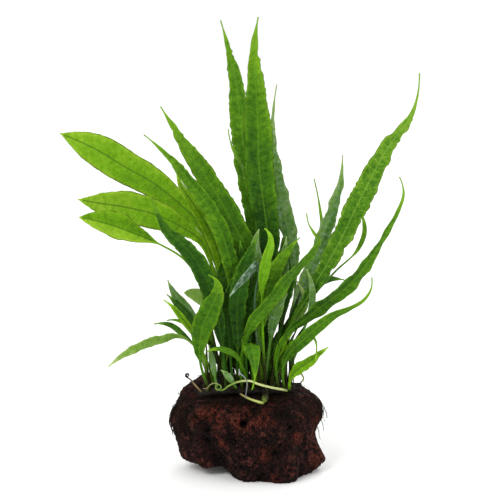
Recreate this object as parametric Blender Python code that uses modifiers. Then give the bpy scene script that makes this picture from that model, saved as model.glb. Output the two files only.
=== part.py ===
"""A java fern growing on a lump of lava rock.

Metres, +Z up, front towards -Y. The origin lies on the flat underside of the rock. The tables below
give places in millimetres, worked to about half a millimetre, and MM turns them into metres.
"""

import math
from dataclasses import dataclass

import bmesh
import bpy
import numpy as np

MM = 0.001
SEED = 7
FINE_STEPS = 40  # steps that measure a smooth path, for each of its points
GROUND_SNAP = 0.01  # what ends this near the ground lies on it

# The rock: its surface passes through these knuckles, seen from the middle of the lump.
ROCK_CENTRE = (0.0, -1.0, 24.0)
ROCK_KNUCKLES = (
    # outline seen from the front, clockwise from the left shoulder
    (-21, 12, 47), (-27, 10, 44), (-33, 6, 41), (-37, 1, 37), (-39, -2, 32), (-40, -4, 24),
    (-38, -6, 18), (-35, -8, 12), (-33, -10, 8), (-28, -13, 6), (-22, -17, 3), (-15, -20, 9),
    (-9, -25, 4), (-1, -29, 0), (7, -30, 2), (16, -32, 0), (23, -27, 0), (26, -22, 3),
    (33, -15, 4), (38.5, -9, 6.5), (35, -7, 11), (32, -6, 17), (34, -5, 22), (36, -4, 28),
    (35, -2, 34), (30, 1, 39), (24, 6, 42), (17, 10, 41),
    # front face
    (-31, -17, 34), (-21, -24, 36), (-9, -26, 37), (3, -27, 36), (14, -25, 36), (25, -19, 36),
    (-32, -17, 23), (-22, -24, 19), (-10, -31, 26), (4, -34, 26), (18, -31, 25), (29, -20, 24),
    (-26, -19, 10), (-12, -28, 13), (4, -33, 12), (19, -32, 10), (30, -17, 12),
    # the hollow on top that the stem lies in
    (-25, -12, 37.5), (-17, -12, 37.5), (-8, -13, 37.5), (1, -13, 37.5), (10, -12, 37.5), (19, -9, 39),
    (-24, -1, 43), (-14, -4, 41), (-5, -6, 39.5), (3, -5, 39.5), (11, -3, 40), (-12, 5, 44.5),
    (-2, 3, 42.5), (7, 4, 41.5), (15, 3, 41), (-10, 14, 45), (3, 14, 43),
    # back
    (-32, 12, 32), (-20, 24, 34), (-2, 28, 34), (15, 25, 32), (29, 13, 30), (-33, 12, 16),
    (-19, 25, 18), (0, 31, 19), (18, 26, 17), (32, 11, 15), (-22, 14, 3), (-4, 24, 1),
    (14, 22, 1), (28, 8, 1),
    # underside
    (-24, -5, 3), (-15, -9, 8), (-17, 4, 3), (-5, -14, -2), (7, -16, -4), (19, -14, -3), (-2, 2, -3),
    (12, 2, -4), (24, -4, -1), (-8, 14, -1), (6, 14, -3),
)
ROCK_REACH = 17.0  # how narrowly a knuckle bulges; the larger the number the narrower
ROCK_SLACK = 0.05  # how far the surface may miss a knuckle to stay smooth
ROCK_LUMPS = 46
ROCK_LUMP_REACH = 70.0
ROCK_LUMP_HEIGHT = 1.1
ROCK_SADDLE = (0.45, 0.2)  # rise and blend of the lump-free top that the stem lies on
ROCK_WEAR = 0.4  # how far the pits lower the rock on average
# Crags and hollows: middle, reach and height, below 0 where it is a hollow.
ROCK_CRAGS = (
    # front face
    ((-22, -27, 28), 4.5, -2.2), ((-22, -24.5, 20), 5, -2.4), ((-27.5, -24, 29), 3.5, 1.5),
    ((-26.5, -20.5, 19.5), 4, 1.0), ((-16, -29.5, 27), 4, 1.4), ((-15.5, -28, 18), 4, 0.9),
    ((-21.5, -22.5, 36.5), 5, 1.4), ((-7, -28, 35.5), 5, 1.2), ((-9, -31.5, 22.5), 4.5, -1.8),
    ((3, -35.5, 22), 5, -1.7), ((14.5, -27.5, 34.5), 4, -1.2), ((13.5, -33.5, 24.5), 4.5, 1.4),
    ((20, -29, 29.5), 4.5, -1.5), ((12.5, -33.5, 16.5), 6, -1.8), ((7, -34.5, 26.5), 4, 0.9),
    ((0, -33, 11.5), 6, 1.0), ((20, -31, 11), 5, 0.9), ((-14, -25, 11.5), 5, -1.0),
    # flanks
    ((-31.5, -17.5, 23.5), 4.5, -1.4), ((-38, -9, 25.5), 4, 1.0), ((-32, -16.5, 33.5), 4.5, -0.8),
    ((-37, 3, 20), 5, -1.2), ((-38, -2, 37), 6, -1.8), ((28, -19, 19), 5, 1.0), ((25, -24.5, 14.5), 4.5, -1.3),
    ((34, 3, 30), 5, 1.0), ((33, 5, 20), 5, -1.2),
    # rim at the ground
    ((37, -9, 7), 3.5, 1.8), ((35, -10, 2), 4, -2.0), ((26, -24, 3.5), 3.5, -2.0), ((7, -31, 2), 3, -3.5),
    ((-16, -19, 7), 4, -2.5), ((-8, -25, 3), 4, -1.5), ((-21.5, -18, 4.5), 4, 1.2), ((-34, -9, 8), 4, 2.0),
    # back
    ((-18, 24, 28), 7, -1.8), ((16, 26, 18), 6, -1.6), ((-8, 28, 20), 5, 1.2), ((6, 28, 30), 5, 1.1),
    ((26, 17, 28), 5, 1.1), ((-29, 17, 20), 5, -1.3), ((-12, 26, 9), 5, -1.2), ((26, 14, 10), 5, -1.1),
)
ROCK_DIVISIONS = 5
ROCK_KEPT = 0.40  # share of the triangles that the simplified rock keeps

# Creeping stem: centre line and radius of the main stem and of its forks.
STEM_ROUNDNESS = 2
STEM_SWELLING = 0.10  # the stem swells and narrows by this share
STEM_END = 0.75  # its radius at the ends
STEMS = {
    "rhizome_main": (
        ((-26, -13, 41.5), (-18, -12, 42.2), (-9, -11, 42.6), (0, -11, 42.7), (9, -11, 42.7), (18, -10, 43.2),
         (26, -7, 44)), 2.0),
    "rhizome_left": (((-14, -8.2, 44), (-15, -3, 46.8), (-13, 4, 48.2), (-11, 11, 49.8)), 1.8),
    "rhizome_mid": (((0, -8, 44.3), (0, -2, 46.8), (3, 5, 47.2), (4, 13, 47.8)), 1.8),
    "rhizome_right": (((12, -8.0, 43.9), (13, -2, 44.6), (14, 5, 44.8), (14, 12, 45.2)), 1.8),
    "rhizome_spur": (((8, -14, 42.3), (7.5, -18, 41.2), (7, -23, 39.9)), 1.6),
}

# Young fronds without a blade: centre line, radius at the foot and at the end.
YOUNG_ROUNDNESS = 1
YOUNG = {
    "crozier_left": (
        ((-24, -15.6, 43), (-27, -15.5, 46), (-30, -15, 49), (-32, -15, 51), (-31, -15, 52)), 0.5, 0.8),
    "young_frond_curled": (
        ((17, -14.2, 43.6), (10, -18.5, 46), (4, -20, 48), (0, -20.3, 49.6), (-5, -19.5, 49.2),
         (-10, -18.5, 47), (-14, -18, 44.4), (-16.5, -18, 44.6), (-16.9, -18.6, 46.6), (-15.2, -19.4, 46.8)),
        0.9, 0.6),
    "young_stipe_front": (((5, -23.6, 39.6), (3, -25.4, 40.6), (-1, -26.4, 42.4), (-5, -26.6, 44.8)), 0.8, 0.5),
    "young_stipe_hooked": (
        ((20.5, -6.2, 46.2), (22, -4.5, 50), (24, -3.5, 51.2), (26, -3, 49), (27, -3, 46.5), (25.5, -3, 44.8)),
        0.6, 0.4),
}

# Fronds: stations along a frond, and its thickness at the stipe and at the blade's edge.
STATIONS = 11
STIPE_WIDTH = 1.5
TIP_WIDTH = 0.7
STIPE_THICKNESS = 1.2
BLADE_THICKNESS = 0.7
EDGE_THICKNESS = 0.45
STRAP_END = 4  # the larger the number the nearer to the tip a strap keeps its width

RIGHT = (1.0, 0.0, 0.0)


@dataclass(frozen=True)
class Frond:
    """A frond: its midrib from foot to tip, and the form of its blade."""

    points: tuple
    width: float
    across: tuple = (RIGHT, RIGHT)  # where its right edge points, at the foot and at the tip
    stipe: float = 0.2  # share of the length that is bare stalk
    belly: float = 0.5  # where along the blade it is widest
    taper: float = 1.1  # the larger the number the longer the tip
    fold: float = 10.0  # how far each half rises, in degrees
    leaf: str = "green"
    rise: float = 1.2  # the larger the number the longer the narrow foot of the blade
    strap: float = 0.0  # width that the blade keeps on its way to the tip


FRONDS = {
    # the three broad blades that lean far left
    "frond_broad_left": Frond(
        ((-10.6, 5, 50.8), (-9.5, 10, 74), (-14, 11, 92.5), (-18.5, 13, 106.5), (-24, 14, 122),
         (-32.5, 16, 130), (-48, 19, 142.5), (-63.5, 22, 151), (-78, 24, 159.5), (-96.5, 26, 167.5)),
        17.5, (RIGHT, (0.45, 0.15, 1.0)), 0.15, 0.8, 1.1, 8, "bright", rise=2.8, strap=4.6),
    "frond_left_middle": Frond(
        ((-13.2, -1, 49.8), (-14, 1, 76), (-17, 2, 96.5), (-20.5, 2, 107.5), (-25, 1, 117), (-33.5, -1, 123.5),
         (-47, -4, 130.5), (-62, -8, 135), (-74, -12, 137.5), (-84.5, -16, 140)),
        16.5, (RIGHT, (0.2, 0.2, 1.0)), 0.2, 0.75, 1.1, 8, "bright", rise=5.0, strap=3.4),
    "frond_left_lower": Frond(
        ((-13, -9.3, 44.8), (-20.5, -9, 78), (-25.5, -9, 98.5), (-33, -11, 109.5), (-43, -14, 116.5),
         (-54, -17, 122), (-68.5, -22, 128.5), (-83, -28, 133)),
        13.0, (RIGHT, (0.2, 0.5, 1.0)), 0.62, 0.6, 0.9, 24, "green", rise=2.4),
    # upright blades left of the middle
    "frond_left_dark": Frond(
        ((-12, -13, 44.6), (-13.5, -16, 64.5), (-17.5, -20, 88), (-21, -21, 100), (-28, -23, 113),
         (-34, -25, 120), (-41, -27, 127), (-45, -29, 135), (-48, -31, 142.5)),
        9.5, (RIGHT, (0.6, 0.1, 0.6)), 0.15, 0.46, 1.3, 12, "deep"),
    "frond_left_sliver": Frond(
        ((-1.4, 0, 49.4), (-9, 5, 75), (-13, 6, 98), (-22, 7, 124), (-29, 7, 135), (-35, 8, 144),
         (-37, 9, 153)),
        7.5, ((0.9, 0.4, 0.0), (0.9, 0.3, 0.1)), 0.25, 0.6, 1.4, 8, "bright"),
    "frond_left_tall_front": Frond(
        ((-3.5, -9.2, 44.8), (-4.5, -9, 73), (-7, -10, 96), (-10.5, -11, 111.5), (-14.5, -12, 124),
         (-20, -13, 135.5), (-28.5, -16, 147.5), (-38, -20, 160), (-51.5, -24, 173)),
        8.5, (RIGHT, (0.7, -0.2, 0.6)), 0.1, 0.5, 1.2, 12, "green"),
    "frond_left_tall": Frond(
        ((1.5, -9.2, 44.8), (2, -5, 72), (3, -4, 92.5), (-0.5, -4, 110), (-9.5, -6, 128.5), (-21, -9, 149),
         (-33, -13, 168), (-43.5, -18, 186)),
        11.5, (RIGHT, (0.8, 0.2, 0.4)), 0.15, 0.5, 1.2, 12, "green"),
    "frond_left_inner": Frond(
        ((-1.2, -4, 48.8), (0, 1, 71), (-1, 2, 91), (-5, 2, 109), (-11, 1, 126), (-19, 1, 139), (-28, 1, 151)),
        10.0, (RIGHT, (0.8, 0.2, 0.4)), 0.25, 0.45, 1.2, 12, "deep"),
    # the tall blades in the middle
    "frond_top_left": Frond(
        ((2.4, 8, 50), (3.5, 13, 84.5), (3, 17, 119.5), (0.5, 20, 139.5), (-3.5, 24, 162.5), (-5.5, 27, 178.5),
         (-7.5, 31, 194), (-11, 36, 209.5), (-15, 42, 223.5)),
        12.0, (RIGHT, RIGHT), 0.2, 0.45, 1.3, 10, "bright"),
    "frond_top_middle": Frond(
        ((11.5, 2, 47.2), (10.5, 1, 86.5), (9, 0, 119.5), (6.5, -1, 137.5), (4.5, -2, 155), (4, -3, 172.5),
         (3, -6, 193.5), (2, -9, 211.5), (4, -12, 229)),
        14.5, (RIGHT, RIGHT), 0.15, 0.5, 1.2, 12, "deep"),
    "frond_top_right": Frond(
        ((13, 9, 47.4), (20, 10, 71.5), (23, 12, 97), (20, 13, 116), (16, 15, 132.5), (12.5, 17, 149),
         (11, 20, 167.5), (12, 22, 182.5), (13.5, 24, 192.5)),
        10.0, (RIGHT, (0.6, 0.8, 0.0)), 0.3, 0.38, 1.6, 10, "grey"),
    "frond_top_curl": Frond(
        ((4.2, 4, 49.8), (7.5, 7, 85), (5.5, 8, 116), (1, 9, 136.5), (-3.5, 11, 151.5), (-9, 13, 162),
         (-11, 15, 171)),
        5.0, (RIGHT, (0.5, 0.8, 0.0)), 0.25, 0.5, 1.3, 10, "green"),
    # right side, tall
    "frond_right_tall": Frond(
        ((14.4, -6, 46.6), (18, -7, 70), (30, -8, 92), (44, -9, 117), (55, -8, 140), (68, -5, 164),
         (80, 0, 180), (84, 6, 200)),
        11.0, (RIGHT, (0.9, -0.2, -0.5)), 0.08, 0.54, 2.1, 12, "green", rise=1.8, strap=2.2),
    "frond_right_inner": Frond(
        ((15.8, 2, 47), (18.5, 5, 70), (27.5, 7, 95.5), (36.5, 9, 117), (42, 11, 133), (45.5, 13, 145.5),
         (46.5, 15, 158)),
        8.0, (RIGHT, (0.8, 0.5, -0.2)), 0.2, 0.5, 1.2, 12, "deep"),
    "frond_right_thin": Frond(
        ((16, 8.5, 47.4), (23, 15, 79), (31.5, 17, 103.5), (36.5, 20, 118.5), (35.5, 22, 129.5),
         (32.5, 25, 144.5)),
        2.4, (RIGHT, (0.8, 0.5, 0.0)), 0.5, 0.35, 1.6, 12, "green"),
    # front blades
    "frond_front_diagonal": Frond(
        ((-4, -12.8, 44.9), (-3.5, -16, 65.5), (1.5, -20.5, 79.5), (9, -22, 89), (15, -22.5, 97.5),
         (21.5, -22, 105), (27.5, -20.5, 111.5), (32, -19, 116), (34, -17.5, 119), (31.5, -15, 123),
         (29, -12, 127), (28, -9, 132)),
        8.0, ((1.0, 0.0, -0.3), (0.6, 0.7, 0.2)), 0.15, 0.42, 1.6, 12, "green"),
    "frond_front_small": Frond(
        ((20, -9.2, 46), (23.5, -10, 65.5), (29, -11, 79.5), (31, -12, 89), (30.5, -12, 96.5),
         (28, -11, 104.5)),
        3.4, (RIGHT, RIGHT), 0.5, 0.5, 1.0, 12, "grey"),
    "frond_pale_thin": Frond(
        ((14.9, -3.4, 46.8), (17, -2, 64), (24, -1.5, 76), (28, -1.5, 85), (26, -1.5, 92), (23, -1.5, 97)),
        2.6, (RIGHT, RIGHT), 0.5, 0.5, 1.1, 8, "pale"),
    "frond_right_long": Frond(
        ((14, -12.6, 45.2), (14.5, -14, 64), (19.5, -15.5, 74), (26, -17, 79.5), (33.5, -19, 86),
         (42, -21.5, 93), (49, -24, 99.5), (56, -26, 108.5), (66.5, -28, 126), (71.5, -28, 135.5),
         (74.5, -27, 145), (72.5, -25, 152.5)),
        8.2, (RIGHT, (0.9, 0.4, -0.2)), 0.15, 0.36, 3.0, 14, "green", strap=3.4),
    "frond_right_hooked": Frond(
        ((17, -12, 45.4), (16.5, -14, 55), (20, -18, 64), (25.5, -21, 70), (33.5, -23, 78), (41.5, -24.5, 84),
         (49, -25.5, 87.5), (56, -26, 92), (59, -26, 96.5), (59.5, -26, 103)),
        7.0, (RIGHT, (0.8, 0.2, -0.5)), 0.1, 0.3, 2.4, 10, "green", strap=2.6),
    "frond_right_wiry": Frond(
        ((15.2, -0.6, 47), (20, 0, 71), (30, 2, 86), (43, 6, 100), (55, 12, 111), (58, 15, 119), (55, 18, 130)),
        2.6, (RIGHT, RIGHT), 0.7, 0.5, 1.1, 8, "green"),
    "frond_right_level": Frond(
        ((16.2, 4.8, 47.2), (20, 8, 70), (24, 10, 83), (31, 12, 92), (38, 15, 94), (48, 20, 93)),
        6.0, (RIGHT, (0.2, 0.3, -1.0)), 0.35, 0.5, 1.1, 12, "deep"),
    "frond_right_low": Frond(
        ((19.6, -12.6, 44.9), (21, -14, 51), (25, -15, 55.5), (29.5, -15.5, 58.5), (34, -15, 62),
         (39, -14, 65.5)),
        6.0, (RIGHT, (0.7, 0.2, -0.7)), 0.05, 0.45, 1.1, 12, "bright"),
    "frond_right_hanging": Frond(
        ((10.6, -13, 45.2), (13, -10, 56.5), (20, -12, 67), (26.5, -15, 71.5), (30, -17, 73),
         (32.5, -18.5, 70), (33, -19, 65), (32.5, -19, 59)),
        3.8, ((1.0, 0.2, 0.0), (0.0, 1.0, 0.0)), 0.55, 0.6, 1.0, 10, "bright"),
    "frond_right_short": Frond(
        ((13.8, -9.2, 45.8), (16, -8.4, 56), (22, -8, 63), (29, -7, 68), (36, -6, 76)),
        4.5, (RIGHT, (0.8, 0.2, -0.6)), 0.3, 0.5, 1.1, 10, "green"),
    "frond_right_yellow": Frond(
        ((10.8, -9.2, 45.2), (13, -8.6, 57), (16, -8.6, 66), (20, -9, 72), (24, -9, 76)),
        4.5, (RIGHT, (0.8, 0.2, -0.6)), 0.2, 0.5, 1.1, 10, "bright"),
    # left side, small
    "frond_left_front": Frond(
        ((-20.5, -14, 44.6), (-24, -17, 55), (-25, -21, 68), (-23, -25, 79), (-19, -29, 89), (-16, -31, 96),
         (-16, -33, 102), (-20, -36, 106)),
        11.5, (RIGHT, RIGHT), 0.2, 0.5, 1.5, 10, "green"),
    "frond_left_fine_dark": Frond(
        ((-17.2, -3, 48), (-24, -2, 60), (-28, 0, 72), (-33, 2, 80), (-37, 4, 84), (-42, 7, 88)),
        5.0, (RIGHT, (0.7, 0.0, 0.7)), 0.35, 0.5, 1.1, 8, "deep"),
    "frond_left_fine_light": Frond(
        ((-17.5, -9.8, 44.4), (-24, -10.5, 63), (-29, -11, 73), (-34, -12, 80), (-39, -12, 86), (-43, -12, 89)),
        3.6, (RIGHT, (0.7, 0.0, 0.7)), 0.4, 0.5, 1.1, 8, "bright"),
    "frond_left_grey": Frond(
        ((-15.2, 3, 50.6), (-26, 7, 72), (-32, 11, 80), (-38, 15, 86), (-42, 20, 93)),
        5.0, (RIGHT, (0.8, 0.3, 0.4)), 0.4, 0.5, 1.1, 8, "grey"),
    "frond_left_pale": Frond(
        ((-13, 9.5, 52), (-13, 14, 68), (-18, 19, 79), (-25, 25, 83), (-34, 32, 84)),
        8.0, (RIGHT, (0.2, 0.3, 1.0)), 0.3, 0.6, 0.7, 8, "pale"),
    "frond_left_arching": Frond(
        ((-23, -10.4, 43.8), (-23, -13, 58), (-28, -16, 67), (-34, -20, 72), (-44, -26, 72), (-58, -33, 68),
         (-69, -38, 61)),
        4.4, (RIGHT, (0.1, 0.5, 1.0)), 0.35, 0.5, 0.9, 8, "pale"),
    "frond_left_wiry": Frond(
        ((-20, -9.8, 44.2), (-23, -8, 55), (-27, -8, 64), (-33, -8, 70), (-40, -6, 75), (-48, -4, 75)),
        3.0, (RIGHT, (0.2, 0.3, 1.0)), 0.45, 0.5, 1.1, 8, "deep"),
    "frond_left_upright": Frond(
        ((-16.5, -13.2, 44.4), (-18, -13, 53), (-19, -12.5, 59), (-20.5, -12.5, 66)),
        3.6, (RIGHT, RIGHT), 0.15, 0.5, 1.1, 8, "grey"),
    # front middle
    "frond_front_drooping": Frond(
        ((1.6, -13.2, 45), (1, -20, 60), (0, -25, 69.5), (0.5, -29, 70), (2, -32, 64.5), (2.5, -33.5, 56),
         (1, -34, 48.5)),
        8.8, (RIGHT, RIGHT), 0.25, 0.36, 2.4, 10, "bright"),
    "frond_front_bright": Frond(
        ((7.8, -13.2, 45.2), (6.5, -16, 69.5), (6, -18, 82.5), (6, -19, 91.5), (6, -22, 99), (7, -26, 106.5),
         (8.5, -30, 115), (10, -32, 120.5), (9.5, -33, 125.5), (7, -33, 128.5)),
        5.6, (RIGHT, (0.9, 0.0, 0.4)), 0.5, 0.5, 1.0, 8, "bright"),
    "frond_front_green": Frond(
        ((4.2, -9.2, 45), (4, -11.5, 66.5), (7, -15.5, 89), (11, -16.5, 101.5), (16.5, -17, 111.5),
         (24.5, -15.5, 121)),
        9.0, (RIGHT, (0.8, 0.1, -0.5)), 0.25, 0.5, 1.2, 12, "green"),
    "frond_front_mottled": Frond(
        ((7.6, -9.1, 45), (11, -11, 74), (14, -12.5, 91), (16, -12.5, 104), (18, -12, 121)),
        8.0, (RIGHT, RIGHT), 0.25, 0.5, 1.1, 12, "grey"),
    "frond_front_bent": Frond(
        ((4.8, -13, 45), (4, -16, 64.5), (2.5, -18.4, 81), (3, -19.4, 96.5), (5, -21, 104.5),
         (4.5, -24, 109), (0.5, -26.5, 106), (-4.5, -28, 100.5), (-10, -28.5, 94)),
        4.8, (RIGHT, (0.5, 0.6, -0.7)), 0.62, 0.5, 1.0, 10, "grey"),
    # dark heart of the plant
    "frond_centre_a": Frond(
        ((-8.5, -13, 44.9), (-10, -12.5, 64), (-11, -12.5, 81), (-10, -13, 92), (-7, -13.5, 103)),
        8.5, (RIGHT, RIGHT), 0.2, 0.5, 1.1, 12, "deep"),
    "frond_centre_b": Frond(
        ((-6.5, -9.2, 45.1), (-6, -15, 66), (-6, -16, 89), (-2, -16, 108), (4, -15, 122)),
        9.0, (RIGHT, RIGHT), 0.2, 0.5, 1.1, 12, "deep"),
    "frond_centre_c": Frond(
        ((-1.2, -13, 45), (-2, -13.2, 64), (-1, -12.5, 80), (3, -12.5, 95), (4, -13, 110)),
        8.0, (RIGHT, RIGHT), 0.2, 0.5, 1.1, 12, "deep"),
    "frond_centre_d": Frond(
        ((-10, -9.3, 45.1), (-14, -8, 68), (-15, -7, 88), (-14, -7, 102), (-11, -7.5, 113)),
        8.5, (RIGHT, RIGHT), 0.2, 0.5, 1.1, 12, "deep"),
    # back of the plant
    "frond_back_a": Frond(
        ((-10.6, 12.4, 51.8), (-14, 32, 80), (-17, 50, 92), (-20, 66, 90)),
        11.0, (RIGHT, RIGHT), 0.25, 0.5, 1.1, 12, "green"),
    "frond_back_b": Frond(
        ((2.4, 12.4, 50.2), (-3, 30, 82), (-6, 48, 104), (-8, 64, 114)),
        12.0, (RIGHT, RIGHT), 0.25, 0.5, 1.1, 12, "green"),
    "frond_back_c": Frond(
        ((5.8, 11.8, 50.2), (7, 28, 72), (9, 46, 84), (10, 64, 80)),
        10.0, (RIGHT, RIGHT), 0.25, 0.5, 1.1, 12, "bright"),
    "frond_back_d": Frond(
        ((12.5, 12.6, 47.4), (17, 28, 80), (20, 42, 104), (22, 54, 122)),
        11.0, (RIGHT, RIGHT), 0.25, 0.5, 1.1, 12, "deep"),
}

# Roots: a felt between stem and rock, and loose strands over the right shoulder.
MAT_MIDDLE = (-1.0, -8.0)
MAT_HALF = (27.0, 8.0)
MAT_CLEAR = 0.8
MAT_THICKNESS = 0.6
MAT_CELLS = (10, 6)
MAT_AIM = 40.0  # height in the rock's top that the patch is aimed at
TUFT_POINTS = ((29, -7, 41), (33, -8, 39.2), (36.6, -8, 34.5), (38.6, -8, 29))
TUFT_RADII = (0.9, 0.36)

LEAF_COLOURS = {
    "bright": (0.20, 0.46, 0.03, 1.0),
    "green": (0.07, 0.24, 0.02, 1.0),
    "deep": (0.03, 0.13, 0.015, 1.0),
    "grey": (0.12, 0.22, 0.09, 1.0),
    "pale": (0.32, 0.48, 0.14, 1.0),
}


def clear_scene():
    for thing in list(bpy.data.objects):
        bpy.data.objects.remove(thing, do_unlink=True)


def finish(name, colour, roughness):
    material = bpy.data.materials.new(name)
    material.use_nodes = True
    shader = material.node_tree.nodes["Principled BSDF"]
    shader.inputs["Base Color"].default_value = colour
    shader.inputs["Roughness"].default_value = roughness
    shader.inputs["Metallic"].default_value = 0.0
    material.diffuse_color = colour
    return material


def smooth_path(points, count):
    """Evenly spaced points on the smooth curve through the given ones, and the curve's directions."""
    points = np.array(points, float)
    knots = np.concatenate(([0.0], np.cumsum(np.linalg.norm(np.diff(points, axis=0), axis=1))))
    slopes = np.diff(points, axis=0) / np.diff(knots)[:, None]
    share = (np.diff(knots)[:-1] / (knots[2:] - knots[:-2]))[:, None]
    inner = slopes[:-1] * (1.0 - share) + slopes[1:] * share
    tangents = np.vstack((2.0 * slopes[0] - inner[0], inner, 2.0 * slopes[-1] - inner[-1]))
    fine = np.linspace(0.0, knots[-1], FINE_STEPS * len(points))
    span = np.clip(np.searchsorted(knots, fine, side="right") - 1, 0, len(points) - 2)
    step = (knots[span + 1] - knots[span])[:, None]
    t = (fine - knots[span])[:, None] / step
    curve = ((1 + 2 * t) * (1 - t) ** 2 * points[span] + t * (1 - t) ** 2 * step * tangents[span]
             + t * t * (3 - 2 * t) * points[span + 1] + t * t * (t - 1) * step * tangents[span + 1])
    lengths = np.concatenate(([0.0], np.cumsum(np.linalg.norm(np.diff(curve, axis=0), axis=1))))
    wanted = np.linspace(0.0, lengths[-1], count)
    even = np.stack([np.interp(wanted, lengths, curve[:, axis]) for axis in range(3)], axis=-1)
    direction = np.gradient(even, axis=0)
    return even, direction / np.linalg.norm(direction, axis=1)[:, None]


def rock_directions(count, seed):
    """Directions spread at random over the sphere."""
    spread = np.random.default_rng(seed).normal(size=(count, 3))
    return spread / np.linalg.norm(spread, axis=1)[:, None]


def rock_radius(directions):
    """Distance from the rock's middle to its surface: bulges that meet every knuckle, lumps and crags."""
    knuckles = np.array(ROCK_KNUCKLES, float) - ROCK_CENTRE
    reach = np.linalg.norm(knuckles, axis=1)
    towards = knuckles / reach[:, None]
    pull = np.exp(ROCK_REACH * (towards @ towards.T - 1.0)) + ROCK_SLACK * np.eye(len(reach))
    weights = np.linalg.solve(pull, reach - reach.mean())
    radius = reach.mean() + np.exp(ROCK_REACH * (directions @ towards.T - 1.0)) @ weights
    lumps = rock_directions(ROCK_LUMPS, SEED)
    sizes = np.random.default_rng(SEED + 1).uniform(-1.0, 1.0, ROCK_LUMPS) * ROCK_LUMP_HEIGHT
    covered = np.clip((directions[:, 2] - ROCK_SADDLE[0]) / ROCK_SADDLE[1], 0.0, 1.0)
    radius += (np.exp(ROCK_LUMP_REACH * (directions @ lumps.T - 1.0)) @ sizes) * (1.0 - covered)
    places = np.array(ROCK_CENTRE) + directions * radius[:, None]
    relief = np.full(len(radius), -ROCK_WEAR)
    for middle, width, height in ROCK_CRAGS:
        away = np.linalg.norm(places - middle, axis=1) / width
        relief += height * np.exp(-away * away)
    return radius + relief * (1.0 - covered)


def rock_surface(directions):
    """Points of the rock in millimetres; what would lie below the ground ends on it."""
    radius = rock_radius(directions)
    down = np.minimum(directions[:, 2], -1e-6)
    radius = np.where(directions[:, 2] < 0.0, np.minimum(radius, -ROCK_CENTRE[2] / down), radius)
    points = np.array(ROCK_CENTRE) + directions * radius[:, None]
    points[np.abs(points[:, 2]) < GROUND_SNAP, 2] = 0.0
    return points


def coordinates(mesh):
    places = np.empty(3 * len(mesh.vertices))
    mesh.vertices.foreach_get("co", places)
    return places.reshape(-1, 3)


def set_coordinates(mesh, places):
    mesh.vertices.foreach_set("co", places.astype(np.float32).ravel())
    mesh.update()


def grid_mesh(name, columns, rows):
    """A flat grid over the unit square, columns along x and rows along y, ready to be bent."""
    grid = bmesh.new()
    bmesh.ops.create_grid(grid, x_segments=columns, y_segments=rows, size=0.5)
    mesh = bpy.data.meshes.new(name)
    grid.to_mesh(mesh)
    grid.free()
    return mesh


def add_object(name, data, collection, material):
    thing = bpy.data.objects.new(name, data)
    data.materials.append(material)
    collection.objects.link(thing)
    return thing


def build_rock(collection, material):
    ball = bmesh.new()
    bmesh.ops.create_icosphere(ball, subdivisions=ROCK_DIVISIONS, radius=1.0)
    mesh = bpy.data.meshes.new("lava_stone")
    ball.to_mesh(mesh)
    ball.free()
    directions = coordinates(mesh)
    directions /= np.linalg.norm(directions, axis=1)[:, None]
    set_coordinates(mesh, rock_surface(directions) * MM)
    mesh.shade_smooth()
    rock = add_object("lava_stone", mesh, collection, material)
    fewer = rock.modifiers.new("fewer", "DECIMATE")
    fewer.ratio = ROCK_KEPT
    return rock


def build_tube(name, points, radii, roundness, collection, material):
    """A round stalk along a smooth path, with its own radius at each sample and closed ends."""
    path, _ = smooth_path(points, len(radii))
    curve = bpy.data.curves.new(name, "CURVE")
    curve.dimensions = "3D"
    curve.bevel_depth = MM
    curve.bevel_resolution = roundness
    curve.use_fill_caps = True
    spline = curve.splines.new("POLY")
    spline.points.add(len(radii) - 1)
    for point, place, radius in zip(spline.points, path, radii):
        point.co = (*(place * MM), 1.0)
        point.radius = radius
    return add_object(name, curve, collection, material)


def build_stems(collection, material):
    for name, (points, radius) in STEMS.items():
        samples = 3 * len(points) - 4
        radii = radius * (1.0 + STEM_SWELLING * np.cos(np.arange(samples) * math.pi))
        radii[[0, -1]] = STEM_END * radius
        build_tube(name, points, radii, STEM_ROUNDNESS, collection, material)


def build_young(collection, material):
    for name, (points, foot, end) in YOUNG.items():
        radii = np.linspace(foot, end, 2 * len(points) + 1)
        build_tube(name, points, radii, YOUNG_ROUNDNESS, collection, material)


def blade_half_width(frond, along):
    """Half the width at a share of the length: a stalk, then a blade that swells and tapers."""
    blade = np.clip((along - frond.stipe) / (1.0 - frond.stipe), 0.0, 1.0)
    before = np.clip(1.0 - blade / frond.belly, 0.0, 1.0)
    after = np.clip((blade - frond.belly) / (1.0 - frond.belly), 0.0, 1.0)
    form = (1.0 - before**2) ** frond.rise * (1.0 - after**2) ** frond.taper
    strap = frond.strap * (1.0 - before**2) * (1.0 - after**STRAP_END)
    stalk = STIPE_WIDTH + (TIP_WIDTH - STIPE_WIDTH) * along
    return 0.5 * np.maximum(np.maximum(stalk, strap), frond.width * form)


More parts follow.
